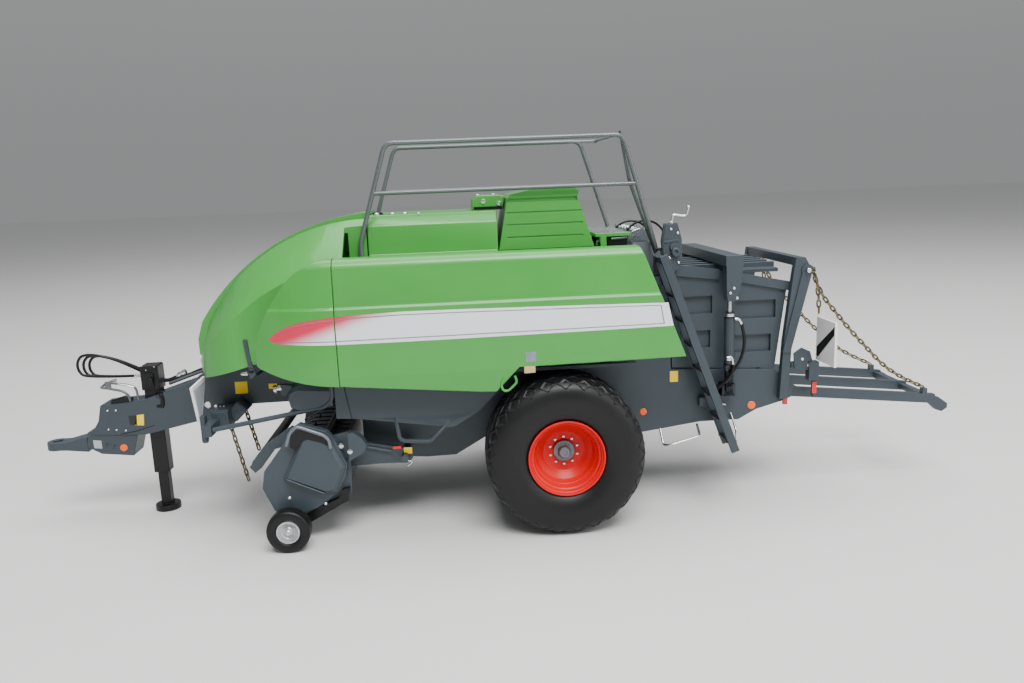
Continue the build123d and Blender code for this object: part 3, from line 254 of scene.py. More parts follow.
class Form:
    """Simple shapes, in millimetres, gathered in one mesh."""

    def __init__(self):
        self.mesh = bmesh.new()

    def faces(self, points, loops):
        made = [self.mesh.verts.new(Vector(p) * mm) for p in points]
        for loop in loops:
            self.mesh.faces.new([made[i] for i in loop])
        return self

    def box(self, low, high):
        (x0, y0, z0), (x1, y1, z1) = low, high
        corners = [(x0, y0, z0), (x1, y0, z0), (x1, y1, z0), (x0, y1, z0)]
        corners += [(x, y, z1) for x, y, z in corners]
        loops = [(3, 2, 1, 0), (4, 5, 6, 7), (0, 1, 5, 4), (1, 2, 6, 5), (2, 3, 7, 6), (3, 0, 4, 7)]
        return self.faces(corners, loops)

    def prism(self, outline, low, high, axis="y"):
        """A flat outline made thick along y, or along x. The outline holds the other two coordinates."""
        points = [(a, out, b) if axis == "y" else (out, a, b) for out in (low, high) for a, b in outline]
        count = len(outline)
        loops = [tuple(range(count)), tuple(range(2 * count - 1, count - 1, -1))]
        loops += [(i, i + count, (i + 1) % count + count, (i + 1) % count) for i in range(count)]
        return self.faces(points, loops)

    def pair(self, outline, near, far):
        """The same prism on both sides."""
        for name, side in SIDES:
            self.prism(outline, *span(side, near, far))
        return self

    def sweep(self, line, radius, sides):
        """A round bar along a line of points."""
        line = [Vector(p) for p in line]
        ahead = (line[1] - line[0]).normalized()
        side = ahead.orthogonal().normalized()
        points = []
        for index, point in enumerate(line):
            now = (line[min(index + 1, len(line) - 1)] - line[max(index - 1, 0)]).normalized()
            side = (side - now * side.dot(now)).normalized()
            points += ring(point, side, now.cross(side), radius, sides)
        loops = [tuple(range(sides - 1, -1, -1)), tuple(range(len(points) - sides, len(points)))]
        for r in range(len(line) - 1):
            for k in range(sides):
                a, b = r * sides + k, r * sides + (k + 1) % sides
                loops.append((a, b, b + sides, a + sides))
        return self.faces(points, loops)

    def pipe(self, points, radius, bend=0, sides=12):
        return self.sweep(eased(points, bend), radius, sides)

    def rod(self, start, end, radius, sides):
        return self.sweep([start, end], radius, sides)

    def lathe(self, profile, centre, direction, sides):
        """A form turned about a line. The profile lists (along, radius), and a radius of 0 closes it."""
        along = Vector(direction).normalized()
        side = along.orthogonal().normalized()
        other = along.cross(side)
        rings = []
        for out, radius in profile:
            middle = Vector(centre) + along * out
            spots = ring(middle, side, other, radius, 1 if radius < 1e-6 else sides)
            rings.append([self.mesh.verts.new(spot * mm) for spot in spots])
        for near, far in zip(rings, rings[1:]):
            for k in range(sides):
                after = (k + 1) % sides
                if len(near) == 1:
                    self.mesh.faces.new((near[0], far[after], far[k]))
                elif len(far) == 1:
                    self.mesh.faces.new((near[k], near[after], far[0]))
                else:
                    self.mesh.faces.new((near[k], near[after], far[after], far[k]))
        return self

    def heads(self, profile, places, reach, sides):
        """The same turned head on both sides, at each (x, z) and a distance to the middle plane."""
        for name, side in SIDES:
            for x, z in places:
                self.lathe(profile, (x, side * reach, z), (0, side, 0), sides)
        return self

    def ball(self, centre, radius, sides):
        turns = [pi * k / 8 for k in range(9)]
        return self.lathe([(-radius * cos(t), radius * sin(t)) for t in turns], centre, UP, sides)

    def done(self, name, slot, body="root", material=None, replaces=None, bevel=0, angle=40):
        """Turns the gathered shapes into a piece that rides on a body."""
        bmesh.ops.recalc_face_normals(self.mesh, faces=self.mesh.faces)
        piece = add(name, smooth_mesh(self.mesh, name, radians(angle), material or FINISH[slot]))
        if bevel:
            soften(piece, bevel)
        if body:
            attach(piece, body)
        if replaces:
            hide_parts(replaces)
        return piece


def smooth_mesh(work, name, angle, material):
    """A smooth-shaded mesh with sharp edges past an angle, from shapes that are then let go."""
    for face in work.faces:
        face.smooth = True
    mesh = bpy.data.meshes.new(name)
    work.to_mesh(mesh)
    work.free()
    mesh.set_sharp_from_angle(angle=angle)
    mesh.materials.append(material)
    return mesh


def soften(piece, width):
    """Rounds every hard edge a little, as moulding and paint do."""
    rounding = piece.modifiers.new("edges", "BEVEL")
    rounding.width = width * mm
    rounding.segments = 2
    rounding.limit_method = "ANGLE"
    rounding.angle_limit = EDGE_ANGLE
    rounding.harden_normals = True


def dressed(name, width):
    """The CAD node's own form with eased edges."""
    node = frame["nodes"][name]
    work = bmesh.new()
    work.from_mesh(node.data)
    bmesh.ops.remove_doubles(work, verts=work.verts, dist=1e-7)
    edges = [e for e in work.edges if len(e.link_faces) == 2]
    bmesh.ops.dissolve_limit(work, angle_limit=radians(1), verts=work.verts, edges=edges)
    piece = add(f"{name}_eased", smooth_mesh(work, f"{name}_eased", EDGE_ANGLE, FINISH[NODE_SLOT[name]]))
    piece.matrix_world = node.matrix_world.copy()
    soften(piece, width)
    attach(piece, BODY_OF[name])
    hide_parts(name)


# ---- covers and plates with eased edges ----
EASED = (  # node, edge rounding in millimetres
    ("front_hood", 0.5), ("roof", 0.45), ("knotter_hood", 0.5), ("air_cowl", 0.4), ("platform", 0.2),
    ("door_panel_left", 0.35), ("door_panel_right", 0.35), ("door_nose_left", 0.3), ("door_nose_right", 0.3),
    ("side_skirts", 0.12), ("chassis_plates", 0.12), ("bale_chamber", 0.2), ("density_doors", 0.16),
    ("density_top", 0.15), ("density_yoke", 0.3), ("rear_arch", 0.2), ("drawbar", 0.35),
    ("hitch_tongue", 0.3), ("jack_housing", 0.25), ("jack_leg", 0.2), ("front_frame", 0.2),
    ("feeder_housing", 0.3), ("pickup_frame", 0.15), ("pickup_shields", 0.35), ("gauge_arms", 0.2),
    ("crop_guard", 0.2), ("control_tower", 0.15), ("ladder", 0.15), ("chute", 0.2), ("axle", 0.2),
    ("density_cylinders", 0.1),
)
for node_name, width in EASED:
    dressed(node_name, width)


# ---- tyres and rims ----
WHEEL_X, WHEEL_Y, WHEEL_RADIUS = 20, 35.5, 25.0
GAUGE_X, GAUGE_Y, GAUGE_RADIUS = -65.6, 42.4, 6.7
TREAD = 0.55  # height that the blocks fill
BLOCKS = 26  # in each row round the tyre
ROW_STEP = 3.0
BLOCK_TURN = pi / BLOCKS * 0.94
BLOCK_WIDE = ROW_STEP * 0.95
BLOCK_RISE = TREAD * 0.72
BLOCK_REACH = 10.1  # no block stands further out than this
BLOCK_CORNERS = ((-1, 0), (-0.12, -0.88), (0.12, -0.88), (1, 0), (0.12, 0.88), (-0.12, 0.88))
BLOCK_RINGS = ((1, -0.5), (0.94, BLOCK_RISE), (0.74, BLOCK_RISE), (0.7, BLOCK_RISE - 0.16))  # share, lift
TYRE_ROWS = (  # shares of the half width and of the height
    (0.74, 0.02), (0.8, 0.07), (0.88, 0.16), (0.95, 0.3), (0.985, 0.45), (0.985, 0.6), (0.955, 0.74),
    (0.9, 0.85), (0.82, 0.93), (0.7, 0.97), (0.45, 0.985), (0.2, 0.99),
)
RIM_FACE = (  # along the axle and radius, as in every turned profile
    (-9.4, 11.9), (-9.2, 11.1), (9, 11.1), (9.4, 11.4), (9.4, 11.85), (9.1, 11.95), (8.8, 11.6), (8.7, 11),
    (8.3, 10.75), (7.5, 10.6), (7.3, 10.1), (6.9, 9.95), (5.1, 9.85), (4.8, 9.45), (4.6, 9.3), (2.9, 9.1),
    (2.4, 8.6), (1.9, 7.7), (1.2, 7), (0.75, 6.5), (0.5, 5.6), (0.4, 4.6), (0.4, 2.55), (-0.5, 2.55),
    (-0.5, 7.2), (-2.2, 9.5), (-9.1, 10.9), (-9.4, 11.3), (-9.4, 11.9),
)
HUB_CAP = (
    (-3.9, 1.62), (-3.9, 2.4), (0.4, 2.4), (0.42, 3.4), (1.3, 3.4), (1.5, 3.2), (1.55, 2.3), (1.75, 1.95),
    (3.3, 1.75), (3.55, 1.5), (3.6, 0.8), (3.35, 0.7), (3.35, 0),
)
NUT = ((0, 0.42), (0.45, 0.42), (0.5, 0.3), (0.5, 0.22), (0.8, 0.2), (0.85, 0))
NUT_COUNT = 10
NUT_CIRCLE = 4.45
GAUGE_FACE = (
    (-2, 3.6), (2, 3.6), (2.25, 3.5), (2.2, 3.15), (1.7, 3), (1.6, 2.75), (1.25, 2.6), (1.1, 2.3),
    (0.95, 2.2), (0.8, 1.75), (0.9, 1.5), (1.3, 1.4), (1.5, 1.2), (1.6, 0.85), (-0.9, 0.85), (-0.9, 2.4),
    (-2, 3.2), (-2, 3.6),
)
GAUGE_CAP = bolt(1, 2.3, 2.5, 0.84, 0.6)


def tyre_profile(radius, half, seat, crown):
    """Rounded section of a wide tyre, from the inner bead over the crown to the outer bead."""
    outer = [(half * w, seat + (radius - seat - crown) * h) for w, h in TYRE_ROWS]
    return [(-w, r) for w, r in outer] + [(w, r) for w, r in reversed(outer)]


def radius_at(profile, across):
    """Height of the crown at a distance from the middle plane."""
    top = [(w, r) for w, r in profile if r > 0.8 * max(p[1] for p in profile)]
    for (w0, r0), (w1, r1) in zip(top, top[1:]):
        if min(w0, w1) <= across <= max(w0, w1) and w0 != w1:
            return r0 + (r1 - r0) * (across - w0) / (w1 - w0)
    return top[0][1]


def tread_block(form, centre, profile, turn, across):
    """A diamond block with a sunk border that stands on the crown."""
    points = []
    for share, lift in BLOCK_RINGS:
        for a, b in BLOCK_CORNERS:
            w = max(-BLOCK_REACH, min(BLOCK_REACH, across + b * BLOCK_WIDE * share))
            angle = turn + a * BLOCK_TURN * share
            size = radius_at(profile, w) + lift
            points.append((centre[0] + size * cos(angle), centre[1] + w, centre[2] + size * sin(angle)))
    count = len(BLOCK_CORNERS)
    loops = [tuple(range(3 * count, 4 * count))]
    for row in range(3):
        for k in range(count):
            a, b = row * count + k, row * count + (k + 1) % count
            loops.append((a, b, b + count, a + count))
    form.faces(points, loops)


for name, side in SIDES:
    centre = (WHEEL_X, side * WHEEL_Y, WHEEL_RADIUS)
    profile = tyre_profile(WHEEL_RADIUS, 11, 11.2, TREAD)
    tyre = Form().lathe(profile + profile[:1], centre, ACROSS, 120)
    for row in range(-3, 4):
        for k in range(BLOCKS):
            turn = 2 * pi * (k + (0.5 if row % 2 else 0)) / BLOCKS
            tread_block(tyre, centre, profile, turn, row * ROW_STEP)
    body = f"wheel_{name}"
    tyre.done(f"tyre_{name}_tread", "tyre", body, replaces=f"tyre_{name}")
    rim = Form().lathe(RIM_FACE, centre, (0, side, 0), 96)
    rim.done(f"rim_{name}_turned", "rim_red", body, replaces=f"rim_{name}", angle=50)
    hub = Form().lathe(HUB_CAP, centre, (0, side, 0), 64)
    hub.done(f"hub_{name}_turned", "hub_grey", body, replaces=f"hub_{name}", angle=35)
    nuts = Form()
    for k in range(NUT_COUNT):
        turn = 2 * pi * (k + 0.5) / NUT_COUNT
        x, z = centre[0] + NUT_CIRCLE * cos(turn), centre[2] + NUT_CIRCLE * sin(turn)
        nuts.lathe(NUT, (x, centre[1] + side * 0.35, z), (0, side, 0), 6)
    nuts.done(f"wheel_nuts_{name}", "bright_metal", body)

    centre = (GAUGE_X, side * GAUGE_Y, GAUGE_RADIUS)
    profile = tyre_profile(GAUGE_RADIUS, 2.6, 3.6, 0)
    body = f"gauge_wheel_{name}"
    tyre = Form().lathe(profile + profile[:1], centre, ACROSS, 72)
    tyre.done(f"gauge_tyre_{name}_round", "tyre", body, replaces=f"gauge_tyre_{name}")
    rim = Form().lathe(GAUGE_FACE, centre, (0, side, 0), 64).lathe(GAUGE_CAP, centre, (0, side, 0), 24)
    rim.done(f"gauge_rim_{name}_turned", "bright_metal", body, RIM_METAL, replaces=f"gauge_rim_{name}")


# ---- rails and guard tubes ----
RAIL_Y = 19.0
RAIL_SIDES = (  # side, x where the top rail ends, x and z of its foot, x where the middle rail ends
    (-1, 43.4, 54.8, 82, 47.6),
    (1, 35.2, 45, 91, 40.2),
)
rails = Form()
for side, top_x, foot_x, foot_z, middle_x in RAIL_SIDES:
    y = side * RAIL_Y
    route = [(-40.6, y, 87), (-40.6, y, 91), (-31, y, 121.6), (top_x, y, 121.6), (foot_x, y, foot_z)]
    rails.pipe(route, 0.75, 2.6, 16)
    rails.rod((-35.8, y, 106.4), (middle_x, y, 106.4), 0.65, 14)
rails.pipe([(34, RAIL_Y, 121.5), (42, RAIL_Y, 121.5), (42, -RAIL_Y, 121.5)], 0.65, 2.2, 14)
rails.pipe([(43.2, -16.4, 123), (46, -16.4, 107), (54.8, -16.4, 82.8)], 0.65, 2, 14)
rails.rod((54.7, -RAIL_Y, 82.6), (54.7, -17.6, 82.6), 0.65, 14)
rails.box((53.6, -18, 77.2), (55.6, -16, 83.2))
rails.done("handrail_round", "rail_grey", replaces="handrail")

guards = Form()
for y in (-33.4, 33.4):
    guards.pipe([(-87.9, y, 37), (-53.6, y, 42.4), (-51, y, 44.6), (-50.9, y, 50.6)], 0.75, 1.8, 16)
guards.done("guard_tubes_round", "rail_grey", material=FINISH["frame_grey"], replaces="guard_tubes")

# ---- hoses ----
HOSES = (  # name, y on the drawbar, y in the loop, front x, top z, bottom z, length
    ("hose_near", 4.2, -2.5, -139.9, 57.2, 48.8, 0.07389),
    ("hose_middle", 5.4, -0.4, -138.9, 56.4, 48.3, 0.07096),
    ("hose_far", 6.6, 1.7, -137.9, 55.8, 47.9, 0.06824),
)


def hose_points(bar_y, loop_y, reach_x, top_z, low_z):
    """Knots of a hose, from the hood along the drawbar and round its loop to the coupling."""
    cut = 0.293 * (top_z - low_z)
    return [
        (-97, bar_y, 48.8), (-100.6, bar_y, 48.8), (-107.4, bar_y, 46), (-115.6, bar_y, 44.4),
        (-120, bar_y, 47.8), (-128.8, loop_y, top_z - 1.6), (reach_x + cut, loop_y, top_z),
        (reach_x, loop_y, top_z - cut), (reach_x, loop_y, low_z + cut), (reach_x + cut, loop_y, low_z),
        (-119.6, loop_y, low_z),
    ]


for name, bar_y, loop_y, reach_x, top_z, low_z, length in HOSES:
    curve = bpy.data.curves.new(f"{name}_cord", "CURVE")
    curve.dimensions = "3D"
    curve.bevel_depth = 0.45 * mm
    curve.bevel_resolution = 4
    curve.resolution_u = 16
    curve.use_fill_caps = True
    points = hose_points(bar_y, loop_y, reach_x, top_z, low_z)
    spline = curve.splines.new("NURBS")
    spline.points.add(len(points) - 1)
    for knot, place in zip(spline.points, points):
        knot.co = (*(value * mm for value in place), 1)
    spline.order_u = 3
    spline.use_endpoint_u = True
    curve.materials.append(FINISH["hose_black"])
    hose = add(f"{name}_cord", curve)
    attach(hose, "root")
    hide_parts(name)
    start = [value * mm for value in points[0]]


# ---- stripe on the side doors ----
STRIPE_ROUGH = 0.3


def fade(name, near, far, ramp):
    """Print that runs from one colour to another along a slanting line. ramp is (x, z, slope, start, end)."""
    x, z, slope, start, end = ramp
    material, tree, shader, place = shaded(name, {"Coat Weight": 0.4, "Coat Roughness": 0.12})
    split = new_node(tree, "SeparateXYZ", {"Vector": place})
    lean = new_node(tree, "Math", {0: split.outputs["Z"], 1: -slope}, operation="MULTIPLY")
    total = new_node(tree, "Math", {0: split.outputs["X"], 1: lean.outputs[0]}, operation="ADD")
    grain = noise(tree, place, Scale=260, Detail=3)
    jitter = new_node(tree, "Math", {0: grain, 1: 1.6 * mm, 2: total.outputs[0]}, operation="MULTIPLY_ADD")
    base = (x - slope * z) * mm
    ends = {"Value": jitter.outputs[0], "From Min": base + start * mm, "From Max": base + end * mm}
    spread = new_node(tree, "MapRange", ends, interpolation_type="SMOOTHSTEP").outputs["Result"]
    gloss = wander(tree, grain, STRIPE_ROUGH * 0.85, STRIPE_ROUGH * 1.2)
    wire(tree, shader, {"Base Color": tint(tree, spread, near, far), "Roughness": gloss})
    return material


STRIPE_RED = (0.6, 0.004, 0.05)
STRIPE_SILVER = (0.72, 0.75, 0.79)
STRIPE = fade("stripe_print", STRIPE_RED, STRIPE_SILVER, (-60.9, 64.7, 2.9, -2.5, 12.5))
STRIPE_EDGE = fade("stripe_edge_print", STRIPE_RED, (0.78, 0.8, 0.83), (-36, 71, 0.6, -9, 12))
STRIPE_LINE = finish("stripe_line", (0.16, 0.17, 0.2), (0.2, 0.21, 0.24), 0.35)
STRIPE_TOP = (
    (-67.2, 65), (-66.2, 66.4), (-64, 67.9), (-61, 69.3), (-57, 70.4), (-52, 71.2), (-47.1, 71.6),
    (-40, 72), (-27.8, 72.4), (-10, 72.3), (10, 72), (30, 71.7), (51.9, 71.3),
)
STRIPE_BOTTOM = (
    (-67.2, 65), (-66, 64.3), (-63.5, 63.9), (-60, 63.7), (-54, 63.5), (-47.4, 63.4), (-30, 63.4),
    (-10.7, 63.5), (10, 63.7), (30, 63.9), (53.4, 64.2),
)
DOOR_Y, SEAM_X, NOSE_RADIUS = 42.8, -47, 50.0
FIELD_LIFT, EDGE_LIFT, LINE_LIFT = 0.05, 0.09, 0.12  # of the layers of print over the door
LINE_WIDE = 0.028  # as a share of the stripe's height, like the next
LINES = ((0.115, 50.6), (0.885, 49.6))  # height of each line and x of its rear end
PANEL_END = 51.8


def height(line, x):
    for (x0, z0), (x1, z1) in zip(line, line[1:]):
        if x0 <= x <= x1:
            return z0 + (z1 - z0) * (x - x0) / (x1 - x0)
    return line[-1][1] if x > line[-1][0] else line[0][1]


def at_share(share, x):
    """Height in the stripe at x, at a share from its bottom to its top."""
    low, high = height(STRIPE_BOTTOM, x), height(STRIPE_TOP, x)
    return low + (high - low) * share


def skin(x, side, lift):
    """Outer face of a side door, flat behind the seam and bent inwards ahead of it."""
    reach = DOOR_Y
    if x < SEAM_X:
        reach = DOOR_Y - NOSE_RADIUS + sqrt(NOSE_RADIUS**2 - (x - SEAM_X) ** 2)
    return side * (reach + lift)


def band(side, lift, start, end, low, high):
    """A thin print between two shares of the stripe's height, from one x to another."""
    steps = max(int((end - start) / 0.8), 2)
    points, loops = [], []
    for k in range(steps + 1):
        x = start + (end - start) * k / steps
        z0, z1 = at_share(low, x), at_share(high, x)
        points += [(x, skin(x, side, lift), z0 + (z1 - z0) * share) for share in (0, 0.5, 1)]
    for k in range(steps):
        loops += [(a, a + 3, a + 4, a + 1) for a in (3 * k, 3 * k + 1)]
    return points, loops


for name, side in SIDES:
    body = f"door_{name}"
    for part, start, end in (("nose", -67.15, -47.2), ("panel", -46.8, PANEL_END)):
        field = Form().faces(*band(side, FIELD_LIFT, start, end, 0, 1))
        lines = Form()
        for share, rear in LINES:
            stop = end if part == "nose" else rear
            lines.faces(*band(side, LINE_LIFT, max(start, -65), stop, share, share + LINE_WIDE))
        if part == "panel":
            y = skin(0, side, FIELD_LIFT)
            corners = [(PANEL_END, y, at_share(0, PANEL_END)), (53.4, y, 64.2), (PANEL_END, y, 71.3)]
            field.faces(corners, [(0, 1, 2)])
            y = skin(0, side, LINE_LIFT)
            z0, z1 = at_share(0.115, 50.6), at_share(0.913, 49.6)
            lines.faces([(50.4, y, z0), (50.7, y, z0), (49.7, y, z1), (49.4, y, z1)], [(0, 1, 2, 3)])
        field.done(f"stripe_{part}_{name}", "cover_green", body, STRIPE)
        edge = Form().faces(*band(side, EDGE_LIFT, max(start, -64), end, 0.9, 1))
        edge.done(f"stripe_edge_{part}_{name}", "cover_green", body, STRIPE_EDGE)
        lines.done(f"stripe_line_{part}_{name}", "cover_green", body, STRIPE_LINE)


# ---- small blank labels and reflectors ----
def label(name, body, outline, side, face, material, thick=0.06):
    """A thin blank label cut to a side-view outline, on a face at a distance to the middle plane."""
    Form().prism(outline, *span(side, face, face + thick)).done(name, "marker_white", body, material)


def rectangle(x0, x1, z0, z1):
    return [(x0, z0), (x1, z0), (x1, z1), (x0, z1)]


LEFT = -1
BAR_Y, SHELF_Y, CHAMBER_Y = 5, 13.6, 21.2  # side faces of the drawbar, the front shelf and the chamber
DRAWBAR_LABEL = ((-122.6, 32.2), (-119.6, 31.9), (-119.2, 35.8), (-121.6, 35.6))
DRAWBAR_LABEL_DARK = ((-124.2, 32.4), (-121.9, 32.2), (-121.6, 35.5), (-124.4, 35.6))
HITCH_PLATE = ((-137.2, 24.7), (-134.6, 24.4), (-134.6, 27.2), (-137.3, 27.5))
label("label_drawbar", "root", DRAWBAR_LABEL, LEFT, BAR_Y, YELLOW)
label("label_drawbar_dark", "root", DRAWBAR_LABEL_DARK, LEFT, BAR_Y, LABEL_DARK)
label("plate_hitch", "root", HITCH_PLATE, LEFT, 4.5, LABEL_GREY, 0.12)
for name, side in SIDES:
    label(f"label_frame_{name}", "root", rectangle(-85.5, -81.5, 43.3, 47.3), side, SHELF_Y, YELLOW)
label("label_shelf", "root", rectangle(-74.6, -71.9, 44.4, 46.1), LEFT, SHELF_Y, YELLOW)
label("label_plate_rear", "root", rectangle(57.7, 60.4, 41.3, 45), LEFT, CHAMBER_Y, YELLOW)
for name, side in SIDES:
    label(f"label_door_{name}", f"door_{name}", rectangle(8.7, 11.7, 55.4, 58.4), side, DOOR_Y, LABEL_BLUE)

discs = Form()
for x, z, reach, radius in (
    (-127.4, 24.3, 4.5, 1.25), (48.6, 31.7, CHAMBER_Y, 1.2), (85.3, 31.9, CHAMBER_Y, 1.35),
):
    rows = [(-0.1, radius), (0.22, radius), (0.34, radius - 0.15), (0.36, radius - 0.4), (0.46, 0)]
    discs.heads(rows, [(x, z)], reach, 28)
discs.done("reflector_discs", "marker_white", material=ORANGE)


# ---- drawbar, jack head and hose ends ----
rivets = ((-131, 37.7), (-128.3, 37.6), (-131.5, 31.1), (-128.9, 30.8), (-125.8, 30.4))
heads = Form().heads([(-0.1, 0.34), (0.18, 0.34), (0.3, 0.22), (0.32, 0)], rivets, BAR_Y, 12)
heads.done("drawbar_rivets", "bright_metal")
bosses = ((-129.1, 34.1), (-125.9, 33.7), (-131.6, 33.8), (-133, 25.6), (-130.6, 25))
heads = Form().heads(bolt(-0.1, 0.1, 0.16, 0.36, 0.2), bosses, BAR_Y - 0.1, 12)
heads.done("drawbar_bosses", "frame_grey")
weld = [(-127.7, 29), (-127.7, 29.3), (-121.9, 30.3), (-116.1, 31.9), (-116.1, 31.6), (-121.9, 29.95)]
Form().pair(weld, BAR_Y - 0.02, BAR_Y + 0.02).done("drawbar_seam", "trim_black")

jack = Form().box((-119.3, -3.3, 50.6), (-113.9, 3.3, 52))
jack.lathe([(-0.6, 1.2), (0, 1.3), (0.6, 1.2)], (-113.2, -4.6, 42.4), ACROSS, 20)
jack.pipe([(-113.2, -4.6, 42.6), (-112.4, -4.8, 41.2), (-112.6, -4.8, 38.4)], 0.75, 0.8)
jack.rod((-114.6, -4.6, 38.4), (-112.2, -4.8, 38.2), 0.7, 12)
jack.box((-118.4, -3.5, 44.6), (-115.2, -3, 49.6))
jack.done("jack_head_fittings", "trim_black", bevel=0.15)
pins = Form()
for place in ((-117.4, -3.1, 50.6), (-118.9, -2.8, 52), (-114.6, -3.1, 51.6), (-112.8, -4.9, 42.2)):
    pins.ball(place, 0.3, 10)
pins.done("jack_head_pins", "bright_metal")
outline = [(-130.2, 39.2), (-123.4, 39.9), (-123.2, 41.3), (-125.8, 42), (-129.8, 41)]
pad = Form().prism(outline, -4.4, -1.4)
pad.done("drawbar_pad", "trim_black", bevel=0.4)

loops = Form()
bent = ((-123.4, 40.2), (-123.6, 42.4), (-125.4, 44), (-130.2, 45.2), (-132.4, 45.6))
loops.pipe([(x, -4.2, z) for x, z in bent], 0.42, 1.6)
loops.pipe([(-120.6, -4.2, 40.4), (-121, -4.2, 45.2), (-124, -4.2, 46.2), (-130, -4.2, 47.2)], 0.4, 1.6)
loops.pipe([(-132.4, -4.2, 45.6), (-132.2, -1, 46.2), (-129.6, 2, 46.8)], 0.42, 1)
loops.box((-131, -4.5, 45), (-129.2, -3.6, 47.5))
loops.done("hose_holder_bent", "rail_grey", replaces="hose_holder", bevel=0.1)
sleeves = Form().pipe([(-126.6, -4.4, 46.55), (-123.6, -4.4, 45.9), (-121.6, -4.4, 45.2)], 0.34, 0.6, 10)
sleeves.rod((-129.2, -3.4, 47.6), (-127.4, -3.4, 47.6), 0.42, 10)
for name, bar_y, y, reach_x, top_z, z, length in HOSES:
    sleeves.rod((-121.6, y, z), (-119.5, y, z), 0.58, 12)
sleeves.done("hose_end_sleeves", "bright_metal")

lead = Form().pipe([(-113.6, -2.4, 46.2), (-110.4, -2.2, 47), (-107.6, -2, 48)], 0.3, 1, 10)
lead.done("plug_lead", "hose_black")
rows = [
    (0, 0), (0, 0.45), (0.6, 0.5), (0.7, 0.85), (1.7, 0.85), (1.8, 0.62), (2.2, 0.62), (2.3, 0.95),
    (3.5, 0.95), (3.7, 0.7), (3.7, 0),
]
start = Vector((-107.9, -2, 47.9))
Form().lathe(rows, start, Vector((-104.3, -2, 49.4)) - start, 20).done("plug_connector", "bright_metal")
tube = Form().pipe([(-112.4, 3, 44.2), (-104.6, 3, 46.8), (-97, 3, 49.2)], 0.55, 2)
tube.done("drawbar_pipe", "rail_grey")


# ---- front: marker boards, boxes, knobs and lever ----
for name, side in SIDES:
    outline = [(side * 19.6, 51.2), (side * 33.4, 50.6), (side * 29.6, 38.6), (side * 27.2, 38.6)]
    Form().prism(outline, -93.6, -92.8, "x").done(f"marker_front_{name}_rim", "marker_white", bevel=0.1)
    middle = sum((Vector(p) for p in outline), Vector((0, 0))) / 4
    inner = [tuple(middle + (Vector(p) - middle) * 0.8) for p in outline]
    face = Form().prism(inner, -93.66, -93.46, "x").prism(inner, -92.94, -92.74, "x")
    face.done(f"marker_front_{name}_face", "marker_white", material=LABEL_GREY)
    low, high = span(side, 27, 29.8)
    outline = [(low, 32.4), (low + 0.8, 31.6), (high - 0.8, 31.6), (high, 32.4), (high, 40.4), (low, 40.4)]
    post = Form().prism(outline, -92.8, -91.3, "x")
    post.done(f"marker_front_{name}_post", "frame_grey", bevel=0.15)
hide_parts("front_markers")

knobs = Form()
rows = [(0, 0), (0, 0.5), (0.5, 0.75), (1.2, 0.95), (1.8, 0.8), (2.1, 0)]
for name, side in SIDES:
    y = side * 20.5
    knobs.lathe(rows, (-92.2, y, 40.9), (-0.5, side * -0.1, 0.8), 18)
    knobs.ball((-90.3, y, 41.2), 0.5, 12).ball((-88.9, y, 41.1), 0.2, 8).ball((-87.7, y, 41.1), 0.2, 8)
knobs.done("front_knobs", "marker_white")
covers = Form().pair([(-90.6, 36), (-86.2, 35.8), (-86, 40.3), (-90.4, 40.5)], 24.9, 25.15)
covers.pair([(-87, 38.6), (-83.6, 42), (-80.8, 39.3), (-84.1, 36.2)], 20.5, 20.9)
covers.heads(bolt(0, 0.3, 0.4, 0.7, 0.5), [(-82.8, 39.4)], 20.8, 16)
covers.done("front_box_covers", "frame_grey", bevel=0.15)

blade = [
    (-76.8, 64.3), (-75.5, 64.3), (-75, 58), (-73.7, 53.4), (-74.4, 52.6), (-75.4, 51.8), (-76, 53.4),
    (-75.9, 56),
]
lever = Form().prism(blade, -31.6, -30.6)
lever.pipe([(-75, -31.2, 53.2), (-74.2, -28, 52.6), (-74, -13.8, 52)], 0.5, 1, 10)
lever.done("front_lever", "frame_grey", bevel=0.2)
rows = [(0, 0), (0.1, 0.35), (0.5, 0.6), (2.2, 0.7), (2.4, 0.4), (2.4, 0)]
Form().lathe(rows, (-78.4, -31.4, 53.7), (1, 0, 0.06), 16).done("front_lever_plug", "bright_metal")
turns = [k * 0.5 for k in range(60)]
coil = [(-75.6 + 0.035 * t, -31.4 + 0.62 * cos(t), 54.6 + 0.62 * sin(t)) for t in turns]
Form().sweep(coil, 0.16, 6).done("front_lever_spring", "trim_black")
rows = [(0, 0), (0, 1.2), (0.8, 1.3), (0.9, 0.9), (1.6, 0.9), (1.7, 1.25), (2.4, 1.25), (2.5, 0)]
Form().lathe(rows, (-69, -30, 47.9), (0.93, 0, 0.3), 20).done("front_coupling", "bright_metal")
outline = [(-66.8, 49.6), (-64.6, 49.4), (-62.9, 48.9), (-65.5, 45.7), (-66.9, 46.2)]
block = Form().prism(outline, -31, -28.8)
block.pipe([(-65, -29.9, 48), (-60, -29, 50.4), (-54, -26, 52.4)], 0.6, 2)
block.done("front_coupling_block", "frame_grey", bevel=0.2)


# ---- chains ----
LINK_STEP = 1.95
LINK_WIRE = 0.28
LINK_BEND = 0.52  # radius of a link's rounded ends
LINK_SIDES = 6


